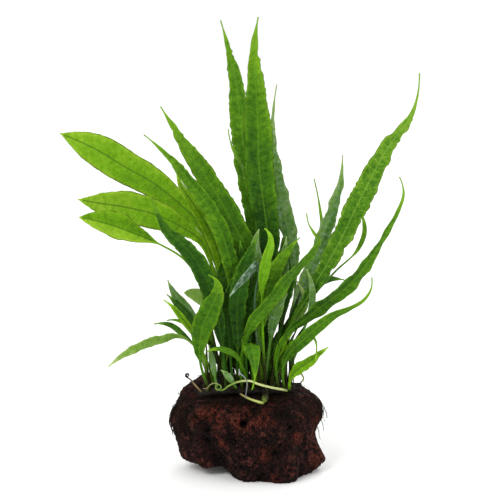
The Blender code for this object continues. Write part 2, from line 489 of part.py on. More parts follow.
def build_frond(name, frond, collection, material):
    """A grid bent along the midrib, folded a little at it, and thick at the stalk."""
    mesh = grid_mesh(name, 2, STATIONS - 1)
    flat = coordinates(mesh)
    side = 2.0 * flat[:, 0]
    station = np.rint((flat[:, 1] + 0.5) * (STATIONS - 1)).astype(int)
    path, direction = smooth_path(frond.points, STATIONS)
    along = np.linspace(0.0, 1.0, STATIONS)
    across = np.outer(1.0 - along, frond.across[0]) + np.outer(along, frond.across[1])
    across -= (across * direction).sum(axis=1)[:, None] * direction
    across /= np.linalg.norm(across, axis=1)[:, None]
    upper = np.cross(across, direction)
    half = blade_half_width(frond, along)
    rise = half * math.tan(math.radians(frond.fold))
    places = (path[station] + across[station] * (side * half[station])[:, None]
              + upper[station] * (np.abs(side) * rise[station])[:, None])
    set_coordinates(mesh, places * MM)
    mesh.shade_smooth()
    thing = add_object(name, mesh, collection, material)
    leafy = np.clip(2.0 * half / STIPE_WIDTH - 1.0, 0.0, 1.0)
    rib = STIPE_THICKNESS + (BLADE_THICKNESS - STIPE_THICKNESS) * leafy
    edge = STIPE_THICKNESS + (EDGE_THICKNESS - STIPE_THICKNESS) * leafy
    thick = np.where(np.abs(side) < 0.5, rib[station], edge[station]) / STIPE_THICKNESS
    group = thing.vertex_groups.new(name="thickness")
    for index, amount in enumerate(thick):
        group.add([index], float(amount), "REPLACE")
    wall = thing.modifiers.new("wall", "SOLIDIFY")
    wall.thickness = STIPE_THICKNESS * MM
    wall.offset = 0.0
    wall.vertex_group = "thickness"
    return thing


def build_fronds(collection):
    leaves = {tone: finish("frond_" + tone, colour, 0.4) for tone, colour in LEAF_COLOURS.items()}
    for name, frond in FRONDS.items():
        build_frond(name, frond, collection, leaves[frond.leaf])


def build_root_mat(collection, material):
    """A patch that follows the rock's top under the stem, rounded in plan."""
    mesh = grid_mesh("root_mat", *MAT_CELLS)
    flat = 2.0 * coordinates(mesh)[:, :2]
    plan_x = MAT_MIDDLE[0] + MAT_HALF[0] * flat[:, 0] * np.sqrt(1.0 - flat[:, 1] ** 2 / 2.0)
    plan_y = MAT_MIDDLE[1] + MAT_HALF[1] * flat[:, 1] * np.sqrt(1.0 - flat[:, 0] ** 2 / 2.0)
    aim = np.stack((plan_x, plan_y, np.full(len(flat), MAT_AIM)), axis=-1) - ROCK_CENTRE
    aim /= np.linalg.norm(aim, axis=1)[:, None]
    clear = MAT_CLEAR + 0.5 * MAT_THICKNESS
    set_coordinates(mesh, (rock_surface(aim) + aim * clear) * MM)
    mesh.shade_smooth()
    mat = add_object("root_mat", mesh, collection, material)
    wall = mat.modifiers.new("wall", "SOLIDIFY")
    wall.thickness = MAT_THICKNESS * MM
    wall.offset = 0.0
    return mat


def build_roots(collection, material):
    build_root_mat(collection, material)
    radii = np.linspace(*TUFT_RADII, 2 * len(TUFT_POINTS))
    build_tube("root_tuft", TUFT_POINTS, radii, YOUNG_ROUNDNESS, collection, material)


def main():
    clear_scene()
    plant = bpy.data.collections.new("java_fern_on_stone")
    bpy.context.scene.collection.children.link(plant)
    build_rock(plant, finish("lava", (0.075, 0.03, 0.022, 1.0), 0.85))
    build_stems(plant, finish("rhizome", (0.05, 0.055, 0.02, 1.0), 0.55))
    build_roots(plant, finish("root", (0.03, 0.018, 0.012, 1.0), 0.8))
    build_young(plant, finish("young", (0.25, 0.30, 0.10, 1.0), 0.45))
    build_fronds(plant)


main()
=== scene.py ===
"""Looks of a java fern that grows on a lump of lava stone.

Metres, +Z up, front towards -Y. Every table gives places in millimetres, and MM turns them into metres.
The forms repeat the ones of the solids, worked out finely enough to show ribs, puckers, pits and roots.
"""

import logging
import math
from dataclasses import dataclass
from enum import Enum
from itertools import product

import bpy
import numpy as np
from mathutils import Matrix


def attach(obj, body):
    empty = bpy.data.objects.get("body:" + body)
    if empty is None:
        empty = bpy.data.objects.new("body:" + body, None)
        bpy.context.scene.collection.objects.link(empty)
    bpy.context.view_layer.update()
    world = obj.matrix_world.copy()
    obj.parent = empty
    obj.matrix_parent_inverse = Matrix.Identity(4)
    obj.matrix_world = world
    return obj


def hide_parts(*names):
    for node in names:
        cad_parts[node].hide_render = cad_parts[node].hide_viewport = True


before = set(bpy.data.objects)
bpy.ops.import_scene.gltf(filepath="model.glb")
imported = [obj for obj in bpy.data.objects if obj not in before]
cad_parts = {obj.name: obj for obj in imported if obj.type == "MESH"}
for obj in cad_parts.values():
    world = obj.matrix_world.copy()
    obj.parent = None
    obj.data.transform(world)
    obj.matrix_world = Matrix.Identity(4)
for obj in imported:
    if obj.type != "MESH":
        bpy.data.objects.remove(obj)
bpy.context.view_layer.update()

Array = np.ndarray
Point = tuple[float, float, float]
Colour = tuple[float, float, float]

MM = 0.001
SEED = 7
BODY = "root"
RIGHT: Point = (1.0, 0.0, 0.0)
UP: Point = (0.0, 0.0, 1.0)
BACK: Point = (0.0, 1.0, 0.0)
TURN: Array = np.array(((2, -1, 2), (2, 2, -1), (-1, 2, 2))) / 3.0

# Sizes that every frond shares.
STALK_WIDTH = 1.5
STALK_THICKNESS = 1.2
TIP_WIDTH = 0.7
BLADE_THICKNESS = 0.42
RIB_WIDTH = 0.42
RIB_HEIGHT = 0.42
VEIN_STEP = 4.4
NOTCH_STEP = 1.5
WAVE_STEP = 17.0
ROW_STEP = 0.9
HALF_COLUMNS = 9
FOOT_SUNK = 1.6

# The creeping stem's scales.
STEM_SIDES = 40
SCALE_STEP = 1.9
SCALES_ROUND = 7
SCALE_HEIGHT = 0.28

log = logging.getLogger("java_fern")


# Numbers: lattice noise, pits and smooth paths.


def lattice_random(cells: Array, seed: int) -> Array:
    """A repeatable number from 0 to 1 for each whole-numbered cell: its coordinates are multiplied by large
    primes, folded together and stirred.

    Args:
        cells: Whole numbers, three to a cell, along the last axis.
        seed: Picks another set of numbers.

    Returns:
        One number for each cell.
    """
    whole = cells.astype(np.int64)
    mixed = (whole[..., 0] * 73856093) ^ (whole[..., 1] * 19349663) ^ (whole[..., 2] * 83492791) ^ (seed * 40503)
    mixed = ((mixed ^ (mixed >> 13)) * 1274126177) & 0xFFFFFFFF
    mixed = ((mixed ^ (mixed >> 15)) * 668265263) & 0xFFFFFFFF
    return ((mixed ^ (mixed >> 14)) & 0xFFFFFF) / float(0x1000000)


def smooth_noise(points: Array, size: float, seed: int) -> Array:
    """Noise from -1 to 1 that swells over about size: the eight numbers at a cell's corners, blended by the
    cubic 3t2 - 2t3 of the place within the cell.

    Args:
        points: Places, three numbers along the last axis.
        size: Edge of a cell, in the units of the places.
        seed: Picks another pattern.

    Returns:
        One number for each place.
    """
    scaled = points / size
    cell = np.floor(scaled)
    part = scaled - cell
    part = part * part * (3.0 - 2.0 * part)
    total = np.zeros(points.shape[:-1])
    for corner in product((0, 1), repeat=3):
        share = np.prod(np.where(np.array(corner) == 1, part, 1.0 - part), axis=-1)
        total += share * lattice_random(cell + np.array(corner), seed)
    return 2.0 * total - 1.0


def rough_noise(points: Array, size: float, octaves: int, seed: int) -> Array:
    """Sum of octaves of smooth_noise, each half the size and about half the height of the one before."""
    return sum(smooth_noise(points, size / 2**step, seed + step) * 0.55**step for step in range(octaves))


def pit_depth(points: Array, size: float, fill: float, seed: int) -> Array:
    """How deep each place lies in a round pit, from 0 to 1: a share of the cells hold a ball at a random place
    and of a random radius, and the depth is 1 minus the squared distance to its middle over that radius.

    Args:
        points: Places, three numbers along the last axis.
        size: Edge of a cell, in the units of the places.
        fill: Share of the cells that hold a pit.
        seed: Picks another pattern.

    Returns:
        The deepest pit's depth at each place.
    """
    home = np.floor(points / size)
    deepest = np.zeros(points.shape[:-1])
    for step in product((-1, 0, 1), repeat=3):
        cell = home + np.array(step)
        jitter = np.stack([lattice_random(cell, seed + axis) for axis in range(3)], axis=-1)
        radius = size * (0.24 + 0.32 * lattice_random(cell, seed + 3))
        away = np.linalg.norm(points - (cell + 0.2 + 0.6 * jitter) * size, axis=-1) / radius
        held = lattice_random(cell, seed + 4) < fill
        deepest = np.maximum(deepest, np.where(held, 1.0 - away * away, 0.0))
    return deepest


def ease(low: float, high: float, value: Array) -> Array:
    """0 below low, 1 above high, and the cubic 3t2 - 2t3 between them; low may be the larger."""
    part = np.clip((value - low) / (high - low), 0.0, 1.0)
    return part * part * (3.0 - 2.0 * part)


def unit(vectors: Array) -> Array:
    """The same directions, one long."""
    return vectors / np.linalg.norm(vectors, axis=-1, keepdims=True)


def square_to(vectors: Array, direction: Array) -> Array:
    """What is left of the vectors square to the direction, one long."""
    return unit(vectors - (vectors * direction).sum(axis=-1, keepdims=True) * direction)


def smooth_path(points: tuple, count: int) -> tuple[Array, Array]:
    """A smooth curve through the points: cubic pieces whose slopes at each point are the mean of the slopes on
    its two sides, weighted by their lengths, then sampled at even steps of length.

    Args:
        points: The points that the curve meets.
        count: How many samples to take.

    Returns:
        The samples, and the curve's direction at each.
    """
    given = np.array(points, float)
    knots = np.concatenate(([0.0], np.cumsum(np.linalg.norm(np.diff(given, axis=0), axis=1))))
    slopes = np.diff(given, axis=0) / np.diff(knots)[:, None]
    share = (np.diff(knots)[:-1] / (knots[2:] - knots[:-2]))[:, None]
    inner = slopes[:-1] * (1.0 - share) + slopes[1:] * share
    tangents = np.vstack((2.0 * slopes[0] - inner[0], inner, 2.0 * slopes[-1] - inner[-1]))
    fine = np.linspace(0.0, knots[-1], 60 * len(given))
    span = np.clip(np.searchsorted(knots, fine, side="right") - 1, 0, len(given) - 2)
    step = (knots[span + 1] - knots[span])[:, None]
    t = (fine - knots[span])[:, None] / step
    curve = ((1 + 2 * t) * (1 - t) ** 2 * given[span] + t * (1 - t) ** 2 * step * tangents[span]
             + t * t * (3 - 2 * t) * given[span + 1] + t * t * (t - 1) * step * tangents[span + 1])
    lengths = np.concatenate(([0.0], np.cumsum(np.linalg.norm(np.diff(curve, axis=0), axis=1))))
    wanted = np.linspace(0.0, lengths[-1], count)
    even = np.stack([np.interp(wanted, lengths, curve[:, axis]) for axis in range(3)], axis=-1)
    return even, unit(np.gradient(even, axis=0))


# Meshes.


def make_piece(name: str, places: Array, quads: Array, triangles: Array, marks: dict[str, Array],
               uv: Array | None = None) -> bpy.types.Object:
    """Puts worked-out arrays into a smooth mesh object at the origin.

    Args:
        name: Name of the object and its mesh.
        places: Vertices in millimetres.
        quads: Four vertex numbers to a face.
        triangles: Three vertex numbers to a face.
        marks: A number for each vertex, or three, by the name of the attribute that keeps them.
        uv: A place on the pattern for each vertex, or none.

    Returns:
        The object, linked into the scene.
    """
    corners = np.concatenate((quads.ravel(), triangles.ravel())).astype(np.int32)
    starts = np.concatenate((4 * np.arange(len(quads)), 4 * len(quads) + 3 * np.arange(len(triangles))))
    mesh = bpy.data.meshes.new(name)
    mesh.vertices.add(len(places))
    mesh.vertices.foreach_set("co", (places * MM).astype(np.float32).ravel())
    mesh.loops.add(len(corners))
    mesh.loops.foreach_set("vertex_index", corners)
    mesh.polygons.add(len(starts))
    mesh.polygons.foreach_set("loop_start", starts.astype(np.int32))
    mesh.update(calc_edges=True)
    mesh.validate()
    mesh.shade_smooth()
    for mark, values in marks.items():
        kind, field = ("FLOAT", "value") if values.ndim == 1 else ("FLOAT_VECTOR", "vector")
        mesh.attributes.new(mark, kind, "POINT").data.foreach_set(field, values.astype(np.float32).ravel())
    if uv is not None:
        layer = mesh.uv_layers.new(name="pattern")
        layer.data.foreach_set("uv", uv[corners].astype(np.float32).ravel())
    piece = bpy.data.objects.new(name, mesh)
    bpy.context.scene.collection.objects.link(piece)
    return piece


def loop_faces(rows: int, columns: int, first: int = 0) -> tuple[Array, Array]:
    """Faces of a skin made of rows of loops, closed at each end by a fan to one middle vertex. The vertices are
    numbered loop by loop from first, and then the middle of the first loop and the middle of the last.

    Args:
        rows: How many loops.
        columns: Vertices in a loop.
        first: Number of the first vertex.

    Returns:
        The quads between the loops and the triangles of the two fans.
    """
    column = np.arange(columns)
    after = (column + 1) % columns
    base = first + columns * np.arange(rows - 1)[:, None]
    quads = np.stack((base + column, base + after, base + columns + after, base + columns + column), axis=-1)
    last = first + columns * (rows - 1)
    middles = first + columns * rows
    low = np.stack((np.full(columns, middles), first + after, first + column), axis=-1)
    high = np.stack((np.full(columns, middles + 1), last + column, last + after), axis=-1)
    return quads.reshape(-1, 4), np.vstack((low, high))


def close_ends(loops: Array) -> Array:
    """The loops' vertices one after another, and then the middles of the first loop and the last."""
    flat = loops.reshape(-1, *loops.shape[2:])
    return np.concatenate((flat, loops[:1].mean(axis=1), loops[-1:].mean(axis=1)))


def tube_loops(path: Array, direction: Array, radii: Array, sides: int, reference: Array) -> Array:
    """Rings round a path: each point is the path plus the radius times the cosine and the sine of the angle,
    along two directions square to the path, the first of which leans towards the reference.

    Args:
        path: Points along the path, three numbers along the last axis.
        direction: The path's direction at each.
        radii: The radius at each point, or at each point and side.
        sides: Points in a ring.
        reference: Direction that the first side faces.

    Returns:
        The rings' points.
    """
    angle = 2.0 * math.pi * np.arange(sides) / sides
    first = square_to(np.broadcast_to(reference, path.shape), direction)
    second = np.cross(direction, first)
    ring = first[..., None, :] * np.cos(angle)[:, None] + second[..., None, :] * np.sin(angle)[:, None]
    spread = radii[..., None, None] if radii.ndim == path.ndim - 1 else radii[..., None]
    return path[..., None, :] + ring * spread


# Finishes.


class Wiring:
    """A material and its node tree, with one short call for each kind of node that the finishes use."""

    def __init__(self, name: str) -> None:
        """Starts a material with its Principled shader.

        Args:
            name: Name of the material.
        """
        self.material = bpy.data.materials.new(name)
        self.material.use_nodes = True
        self.tree = self.material.node_tree
        self.shader = self.tree.nodes["Principled BSDF"]
        self.place = self.tree.nodes.new("ShaderNodeTexCoord").outputs["Object"]

    def put(self, socket: bpy.types.NodeSocket, value: object) -> None:
        """Links a socket into another, or sets its number or colour.

        Args:
            socket: The input to fill.
            value: A socket, a number or a tuple of numbers.
        """
        if isinstance(value, bpy.types.NodeSocket):
            self.tree.links.new(value, socket)
        elif isinstance(value, tuple) and len(socket.default_value) == 4:
            socket.default_value = (*value[:3], 1.0)
        else:
            socket.default_value = value

    def mark(self, name: str, output: str = "Fac") -> bpy.types.NodeSocket:
        """What the mesh keeps under that name at each point."""
        node = self.tree.nodes.new("ShaderNodeAttribute")
        node.attribute_name = name
        return node.outputs[output]

    def noise(self, where: object, scale: float, detail: float = 2.0, lumpy: float = 0.5) -> bpy.types.NodeSocket:
        """Noise about 0.5, with that many swells to a unit of the place."""
        node = self.tree.nodes.new("ShaderNodeTexNoise")
        self.put(node.inputs["Vector"], where)
        node.inputs["Scale"].default_value = scale
        node.inputs["Detail"].default_value = detail
        node.inputs["Roughness"].default_value = lumpy
        return node.outputs["Fac"]

    def cells(self, where: object, scale: float, feature: str = "F1", uneven: float = 1.0) -> bpy.types.NodeSocket:
        """Distance to the nearest cell's middle, or to its edge for DISTANCE_TO_EDGE."""
        node = self.tree.nodes.new("ShaderNodeTexVoronoi")
        node.feature = feature
        self.put(node.inputs["Vector"], where)
        node.inputs["Scale"].default_value = scale
        node.inputs["Randomness"].default_value = uneven
        return node.outputs["Distance"]

    def sum(self, operation: str, first: object, second: object = 0.0, third: object = 0.0) -> bpy.types.NodeSocket:
        """The result of a Math node, such as ADD or MULTIPLY_ADD."""
        node = self.tree.nodes.new("ShaderNodeMath")
        node.operation = operation
        for socket, value in zip(node.inputs, (first, second, third)):
            self.put(socket, value)
        return node.outputs[0]

    def fade(self, value: object, low: float, high: float, start: float = 0.0, end: float = 1.0
             ) -> bpy.types.NodeSocket:
        """Goes smoothly from start at low to end at high, and stays level outside them."""
        node = self.tree.nodes.new("ShaderNodeMapRange")
        node.interpolation_type = "SMOOTHSTEP"
        for socket, given in zip(node.inputs, (value, low, high, start, end)):
            self.put(socket, given)
        return node.outputs[0]

    def vector(self, first: object, second: object, third: object = 0.0) -> bpy.types.NodeSocket:
        """Three numbers joined into a place."""
        node = self.tree.nodes.new("ShaderNodeCombineXYZ")
        for socket, value in zip(node.inputs, (first, second, third)):
            self.put(socket, value)
        return node.outputs[0]

    def parts(self, vector: bpy.types.NodeSocket) -> tuple[bpy.types.NodeSocket, ...]:
        """The three numbers of a place."""
        node = self.tree.nodes.new("ShaderNodeSeparateXYZ")
        self.put(node.inputs[0], vector)
        return tuple(node.outputs)

    def blend(self, share: object, first: object, second: object, how: str = "MIX") -> bpy.types.NodeSocket:
        """Two colours mixed: the first where the share is 0, the second where it is 1."""
        node = self.tree.nodes.new("ShaderNodeMix")
        node.data_type = "RGBA"
        node.blend_type = how
        for socket, value in zip((node.inputs[0], node.inputs[6], node.inputs[7]), (share, first, second)):
            self.put(socket, value)
        return node.outputs[2]

    def ramp(self, value: object, stops: tuple[tuple[float, Colour], ...]) -> bpy.types.NodeSocket:
        """The colour that the stops give for a value, mixed between them."""
        node = self.tree.nodes.new("ShaderNodeValToRGB")
        self.put(node.inputs[0], value)
        ends = node.color_ramp.elements
        while len(ends) < len(stops):
            ends.new(0.5)
        for end, (position, colour) in zip(ends, stops):
            end.position = position
            end.color = (*colour, 1.0)
        return node.outputs[0]

    def relief(self, height: object, depth: float) -> None:
        """Gives the shader a bump of that height, in metres, where the height runs from 0 to 1."""
        node = self.tree.nodes.new("ShaderNodeBump")
        self.put(node.inputs["Height"], height)
        node.inputs["Distance"].default_value = depth
        self.tree.links.new(node.outputs[0], self.shader.inputs["Normal"])

    def paint(self, colour: object, rough: object, specular: float = 0.5) -> None:
        """Gives the shader its colour, its roughness and its mirror strength."""
        self.put(self.shader.inputs["Base Color"], colour)
        self.put(self.shader.inputs["Roughness"], rough)
        self.shader.inputs["Specular IOR Level"].default_value = specular

    def glow_through(self, share: float, colour: object) -> None:
        """Lets a share of the light pass through a thin leaf, in that colour."""
        through = self.tree.nodes.new("ShaderNodeBsdfTranslucent")
        self.put(through.inputs["Color"], colour)
        both = self.tree.nodes.new("ShaderNodeMixShader")
        both.inputs[0].default_value = share
        self.tree.links.new(self.shader.outputs[0], both.inputs[1])
        self.tree.links.new(through.outputs[0], both.inputs[2])
        self.tree.links.new(both.outputs[0], self.tree.nodes["Material Output"].inputs["Surface"])


def srgb(red: int, green: int, blue: int) -> Colour:
    """The linear colour of screen values from 0 to 255."""
    share = np.array((red, green, blue)) / 255.0
    linear = np.where(share < 0.04045, share / 12.92, ((share + 0.055) / 1.055) ** 2.4)
    return tuple(float(value) for value in linear)


@dataclass(frozen=True)
class LeafFinish:
    """A blade's skin: a colour from dark to pale by the light kept on the mesh, side veins and a fine net between
    them, a midrib, and a brown stalk.

    Attributes:
        slot: Name of a material slot; not used.
        dark: Colour in its depths and on a shaded half.
        body: Colour of most of the blade.
        pale: Colour of its tips, and of its thin margins, which are lightened as painted light.
        rib: Colour of the midrib.
        rib_share: How much the rib's colour shows.
        rough: Roughness.
        through: Share of the light that passes through.
        painted_sheen: How much a grey painted sheen covers the colour, in patches.
        veins: How much lighter the side veins are than the blade, below 0 where they are darker.
    """

    slot: str
    dark: Colour
    body: Colour
    pale: Colour
    rib: Colour
    rib_share: float = 0.5
    rough: float = 0.4
    through: float = 0.2
    painted_sheen: float = 0.0
    veins: float = -0.06

    def material(self, name: str) -> bpy.types.Material:
        """The finish as nodes.

        The side veins are the troughs of a zigzag of the length along the blade less half the distance from the
        midrib, and the net is the edges of cells stretched along the blade.

        Args:
            name: Name of the material.

        Returns:
            The material.
        """
        w = Wiring(name)
        spread, reach, leafy = w.parts(w.mark("lamina", "Vector"))
        light = w.mark("light")
        aside = w.sum("ABSOLUTE", spread)
        stray = w.noise(w.place, 200.0)
        phase = w.sum("MULTIPLY_ADD", aside, -0.55, w.sum("MULTIPLY_ADD", stray, 4.5, reach))
        zigzag = w.sum("PINGPONG", w.sum("MULTIPLY", phase, 1.0 / VEIN_STEP), 0.5)
        vein = w.fade(zigzag, 0.0, 0.13, 1.0, 0.0)
        net = w.cells(w.vector(spread, w.sum("MULTIPLY", reach, 0.7)), 0.85, "DISTANCE_TO_EDGE")
        thread = w.fade(net, 0.0, 0.16, 1.0, 0.0)
        cloud = w.noise(w.place, 90.0, 3.0)
        mottle = w.noise(w.place, 430.0, 3.0, 0.6)
        tone = w.sum("MULTIPLY_ADD", w.sum("SUBTRACT", cloud, 0.5), 0.40, light)
        tone = w.sum("MULTIPLY_ADD", w.sum("SUBTRACT", mottle, 0.5), 0.85, tone)
        tone = w.sum("MULTIPLY_ADD", vein, self.veins, w.sum("MULTIPLY_ADD", thread, 0.8 * self.veins, tone))
        blade = w.ramp(tone, ((0.0, self.dark), (0.5, self.body), (1.0, self.pale)))
        # Painted sheen: grey-white patches laid over the colour.
        if self.painted_sheen > 0.0:
            sheen_patches = w.fade(w.noise(w.place, 420.0, 4.0), 0.45, 0.7, 0.0, self.painted_sheen)
            blade = w.blend(sheen_patches, blade, srgb(168, 186, 172))
        rib = w.sum("MULTIPLY", w.fade(aside, 0.22, 0.55, self.rib_share, 0.0), leafy)
        blade = w.blend(rib, blade, self.rib)
        stalk = w.ramp(light, ((0.0, srgb(30, 22, 8)), (0.35, srgb(44, 52, 10)), (0.8, self.body), (1.0, self.pale)))
        colour = w.blend(leafy, stalk, blade)
        patchy = w.fade(cloud, 0.35, 0.65, self.rough - 0.06, self.rough + 0.10)
        w.paint(colour, patchy, 0.11)
        net_relief = w.sum("MULTIPLY_ADD", vein, -0.4, w.sum("MULTIPLY", thread, -0.3))
        w.relief(w.sum("MULTIPLY_ADD", mottle, 1.2, net_relief), 0.0005)
        w.glow_through(self.through, w.blend(1.0, colour, srgb(235, 245, 120), "MULTIPLY"))
        return w.material


@dataclass(frozen=True)
class LavaFinish:
    """Porous lava: dark red brown and redder in patches, with painted light: lighter and redder on its ridges as a
    painted highlight, black in its pits and hollows as painted shade, and a few painted glints.

    Attributes:
        body: Colour of most of the surface.
        crest_highlight: Colour where it stands out, a painted highlight.
        red: Colour of the patches that are redder.
        pit: Colour of the painted shade in the pits and hollows, and of the fine cracks.
        painted_glint: Colour of the painted glints.
    """

    body: Colour = srgb(42, 19, 16)
    crest_highlight: Colour = srgb(98, 50, 41)
    red: Colour = srgb(94, 38, 24)
    pit: Colour = srgb(6, 3, 2)
    painted_glint: Colour = srgb(150, 110, 96)

    def material(self, name: str) -> bpy.types.Material:
        """The finish as nodes: the pits and ridges kept on the mesh set the colour, and cells and noise finer than
        the mesh add grain.

        Args:
            name: Name of the material.

        Returns:
            The material.
        """
        w = Wiring(name)
        pit = w.mark("pit")
        rise = w.mark("rise")
        redness = w.mark("redness")
        grain = w.noise(w.place, 1000.0, 4.0, 0.8)
        crumbs = w.cells(w.place, 950.0)
        rusty = w.blend(redness, self.body, self.red)
        # Painted highlight: what stands out takes the lighter ridge colour.
        wear_and_painted_light = w.blend(w.fade(rise, 0.45, 1.0, 0.0, 0.75), rusty, self.crest_highlight)
        cracks = w.sum("MULTIPLY_ADD", crumbs, -0.22, grain)
        # Painted shade: the crag hollows darken towards the pit colour.
        wear_and_painted_light = w.blend(w.sum("MULTIPLY", w.mark("shade"), 0.75), wear_and_painted_light, self.pit)
        grained = w.blend(w.fade(cracks, 0.26, 0.48, 0.96, 0.0), wear_and_painted_light, self.pit)
        # Painted shade: the pits and creases darken nearly to black.
        sunk = w.blend(w.fade(pit, 0.05, 0.6, 0.0, 0.96), grained, self.pit)
        # Painted glints: small light specks in the colour.
        glint = w.fade(w.noise(w.place, 2400.0, 1.0), 0.70, 0.76, 0.0, 0.6)
        colour = w.blend(glint, sunk, self.painted_glint)
        w.paint(colour, w.fade(grain, 0.3, 0.7, 0.95, 0.68), 0.09)
        w.relief(w.sum("MULTIPLY_ADD", crumbs, -0.9, grain), 0.0013)
        return w.material


@dataclass(frozen=True)
class StalkFinish:
    """A bare stalk or stem, coloured from one end to the other and roughened.

    Attributes:
        slot: Name of a material slot; not used.
        colours: Colours from the foot to the end, with their places from 0 to 1.
        speckle: Colour of its scales or specks.
        speckled: Share of the specks.
        rough: Roughness.
        grain: Height of the bump in metres.
    """

    slot: str
    colours: tuple[tuple[float, Colour], ...]
    speckle: Colour
    speckled: float = 0.3
    rough: float = 0.45
    grain: float = 0.0001

    def material(self, name: str) -> bpy.types.Material:
        """The finish as nodes: a ramp along the stalk, under specks of noise.

        Args:
            name: Name of the material.

        Returns:
            The material.
        """
        w = Wiring(name)
        along = w.mark("along")
        speck = w.noise(w.place, 900.0, 3.0, 0.65)
        base = w.ramp(along, self.colours)
        colour = w.blend(w.fade(speck, 0.52, 0.64, 0.0, self.speckled), base, self.speckle)
        w.paint(colour, w.fade(speck, 0.35, 0.7, self.rough, self.rough + 0.2), 0.2)
        w.relief(speck, self.grain)
        return w.material


@dataclass(frozen=True)
class RootFinish:
    """Fine roots, from nearly black to brown, each of its own shade.

    Attributes:
        dark: Colour of the oldest.
        brown: Colour of the youngest.
    """

    dark: Colour = srgb(9, 6, 5)
    brown: Colour = srgb(74, 52, 36)

    def material(self, name: str) -> bpy.types.Material:
        """The finish as nodes: the shade kept on each root, broken by noise.

        Args:
            name: Name of the material.

        Returns:
            The material.
        """
        w = Wiring(name)
        wear_and_painted_light = w.noise(w.place, 700.0, 2.0)
        shade = w.sum("MULTIPLY", w.mark("shade"), w.fade(wear_and_painted_light, 0.3, 0.7, 0.5, 1.2))
        w.paint(w.blend(shade, self.dark, self.brown), w.fade(wear_and_painted_light, 0.3, 0.7, 0.6, 0.85), 0.07)
        w.relief(wear_and_painted_light, 0.00005)
        return w.material


@dataclass(frozen=True)
class FloorFinish:
    """A plain pale floor."""

    pale: Colour = (0.90, 0.90, 0.89)

    def material(self, name: str) -> bpy.types.Material:
        """The finish as nodes: one pale colour with the faintest cloud in it."""
        w = Wiring(name)
        cloud = w.noise(w.place, 3.0, 2.0)
        w.paint(w.blend(w.fade(cloud, 0.3, 0.7, 0.0, 0.3), self.pale, (0.93, 0.93, 0.92)), 0.6, 0.1)
        return w.material


# The stone.


def stone_spots(count: int, seed: int) -> Array:
    """Directions spread at random over the sphere."""
    return unit(np.random.default_rng(seed).normal(size=(count, 3)))


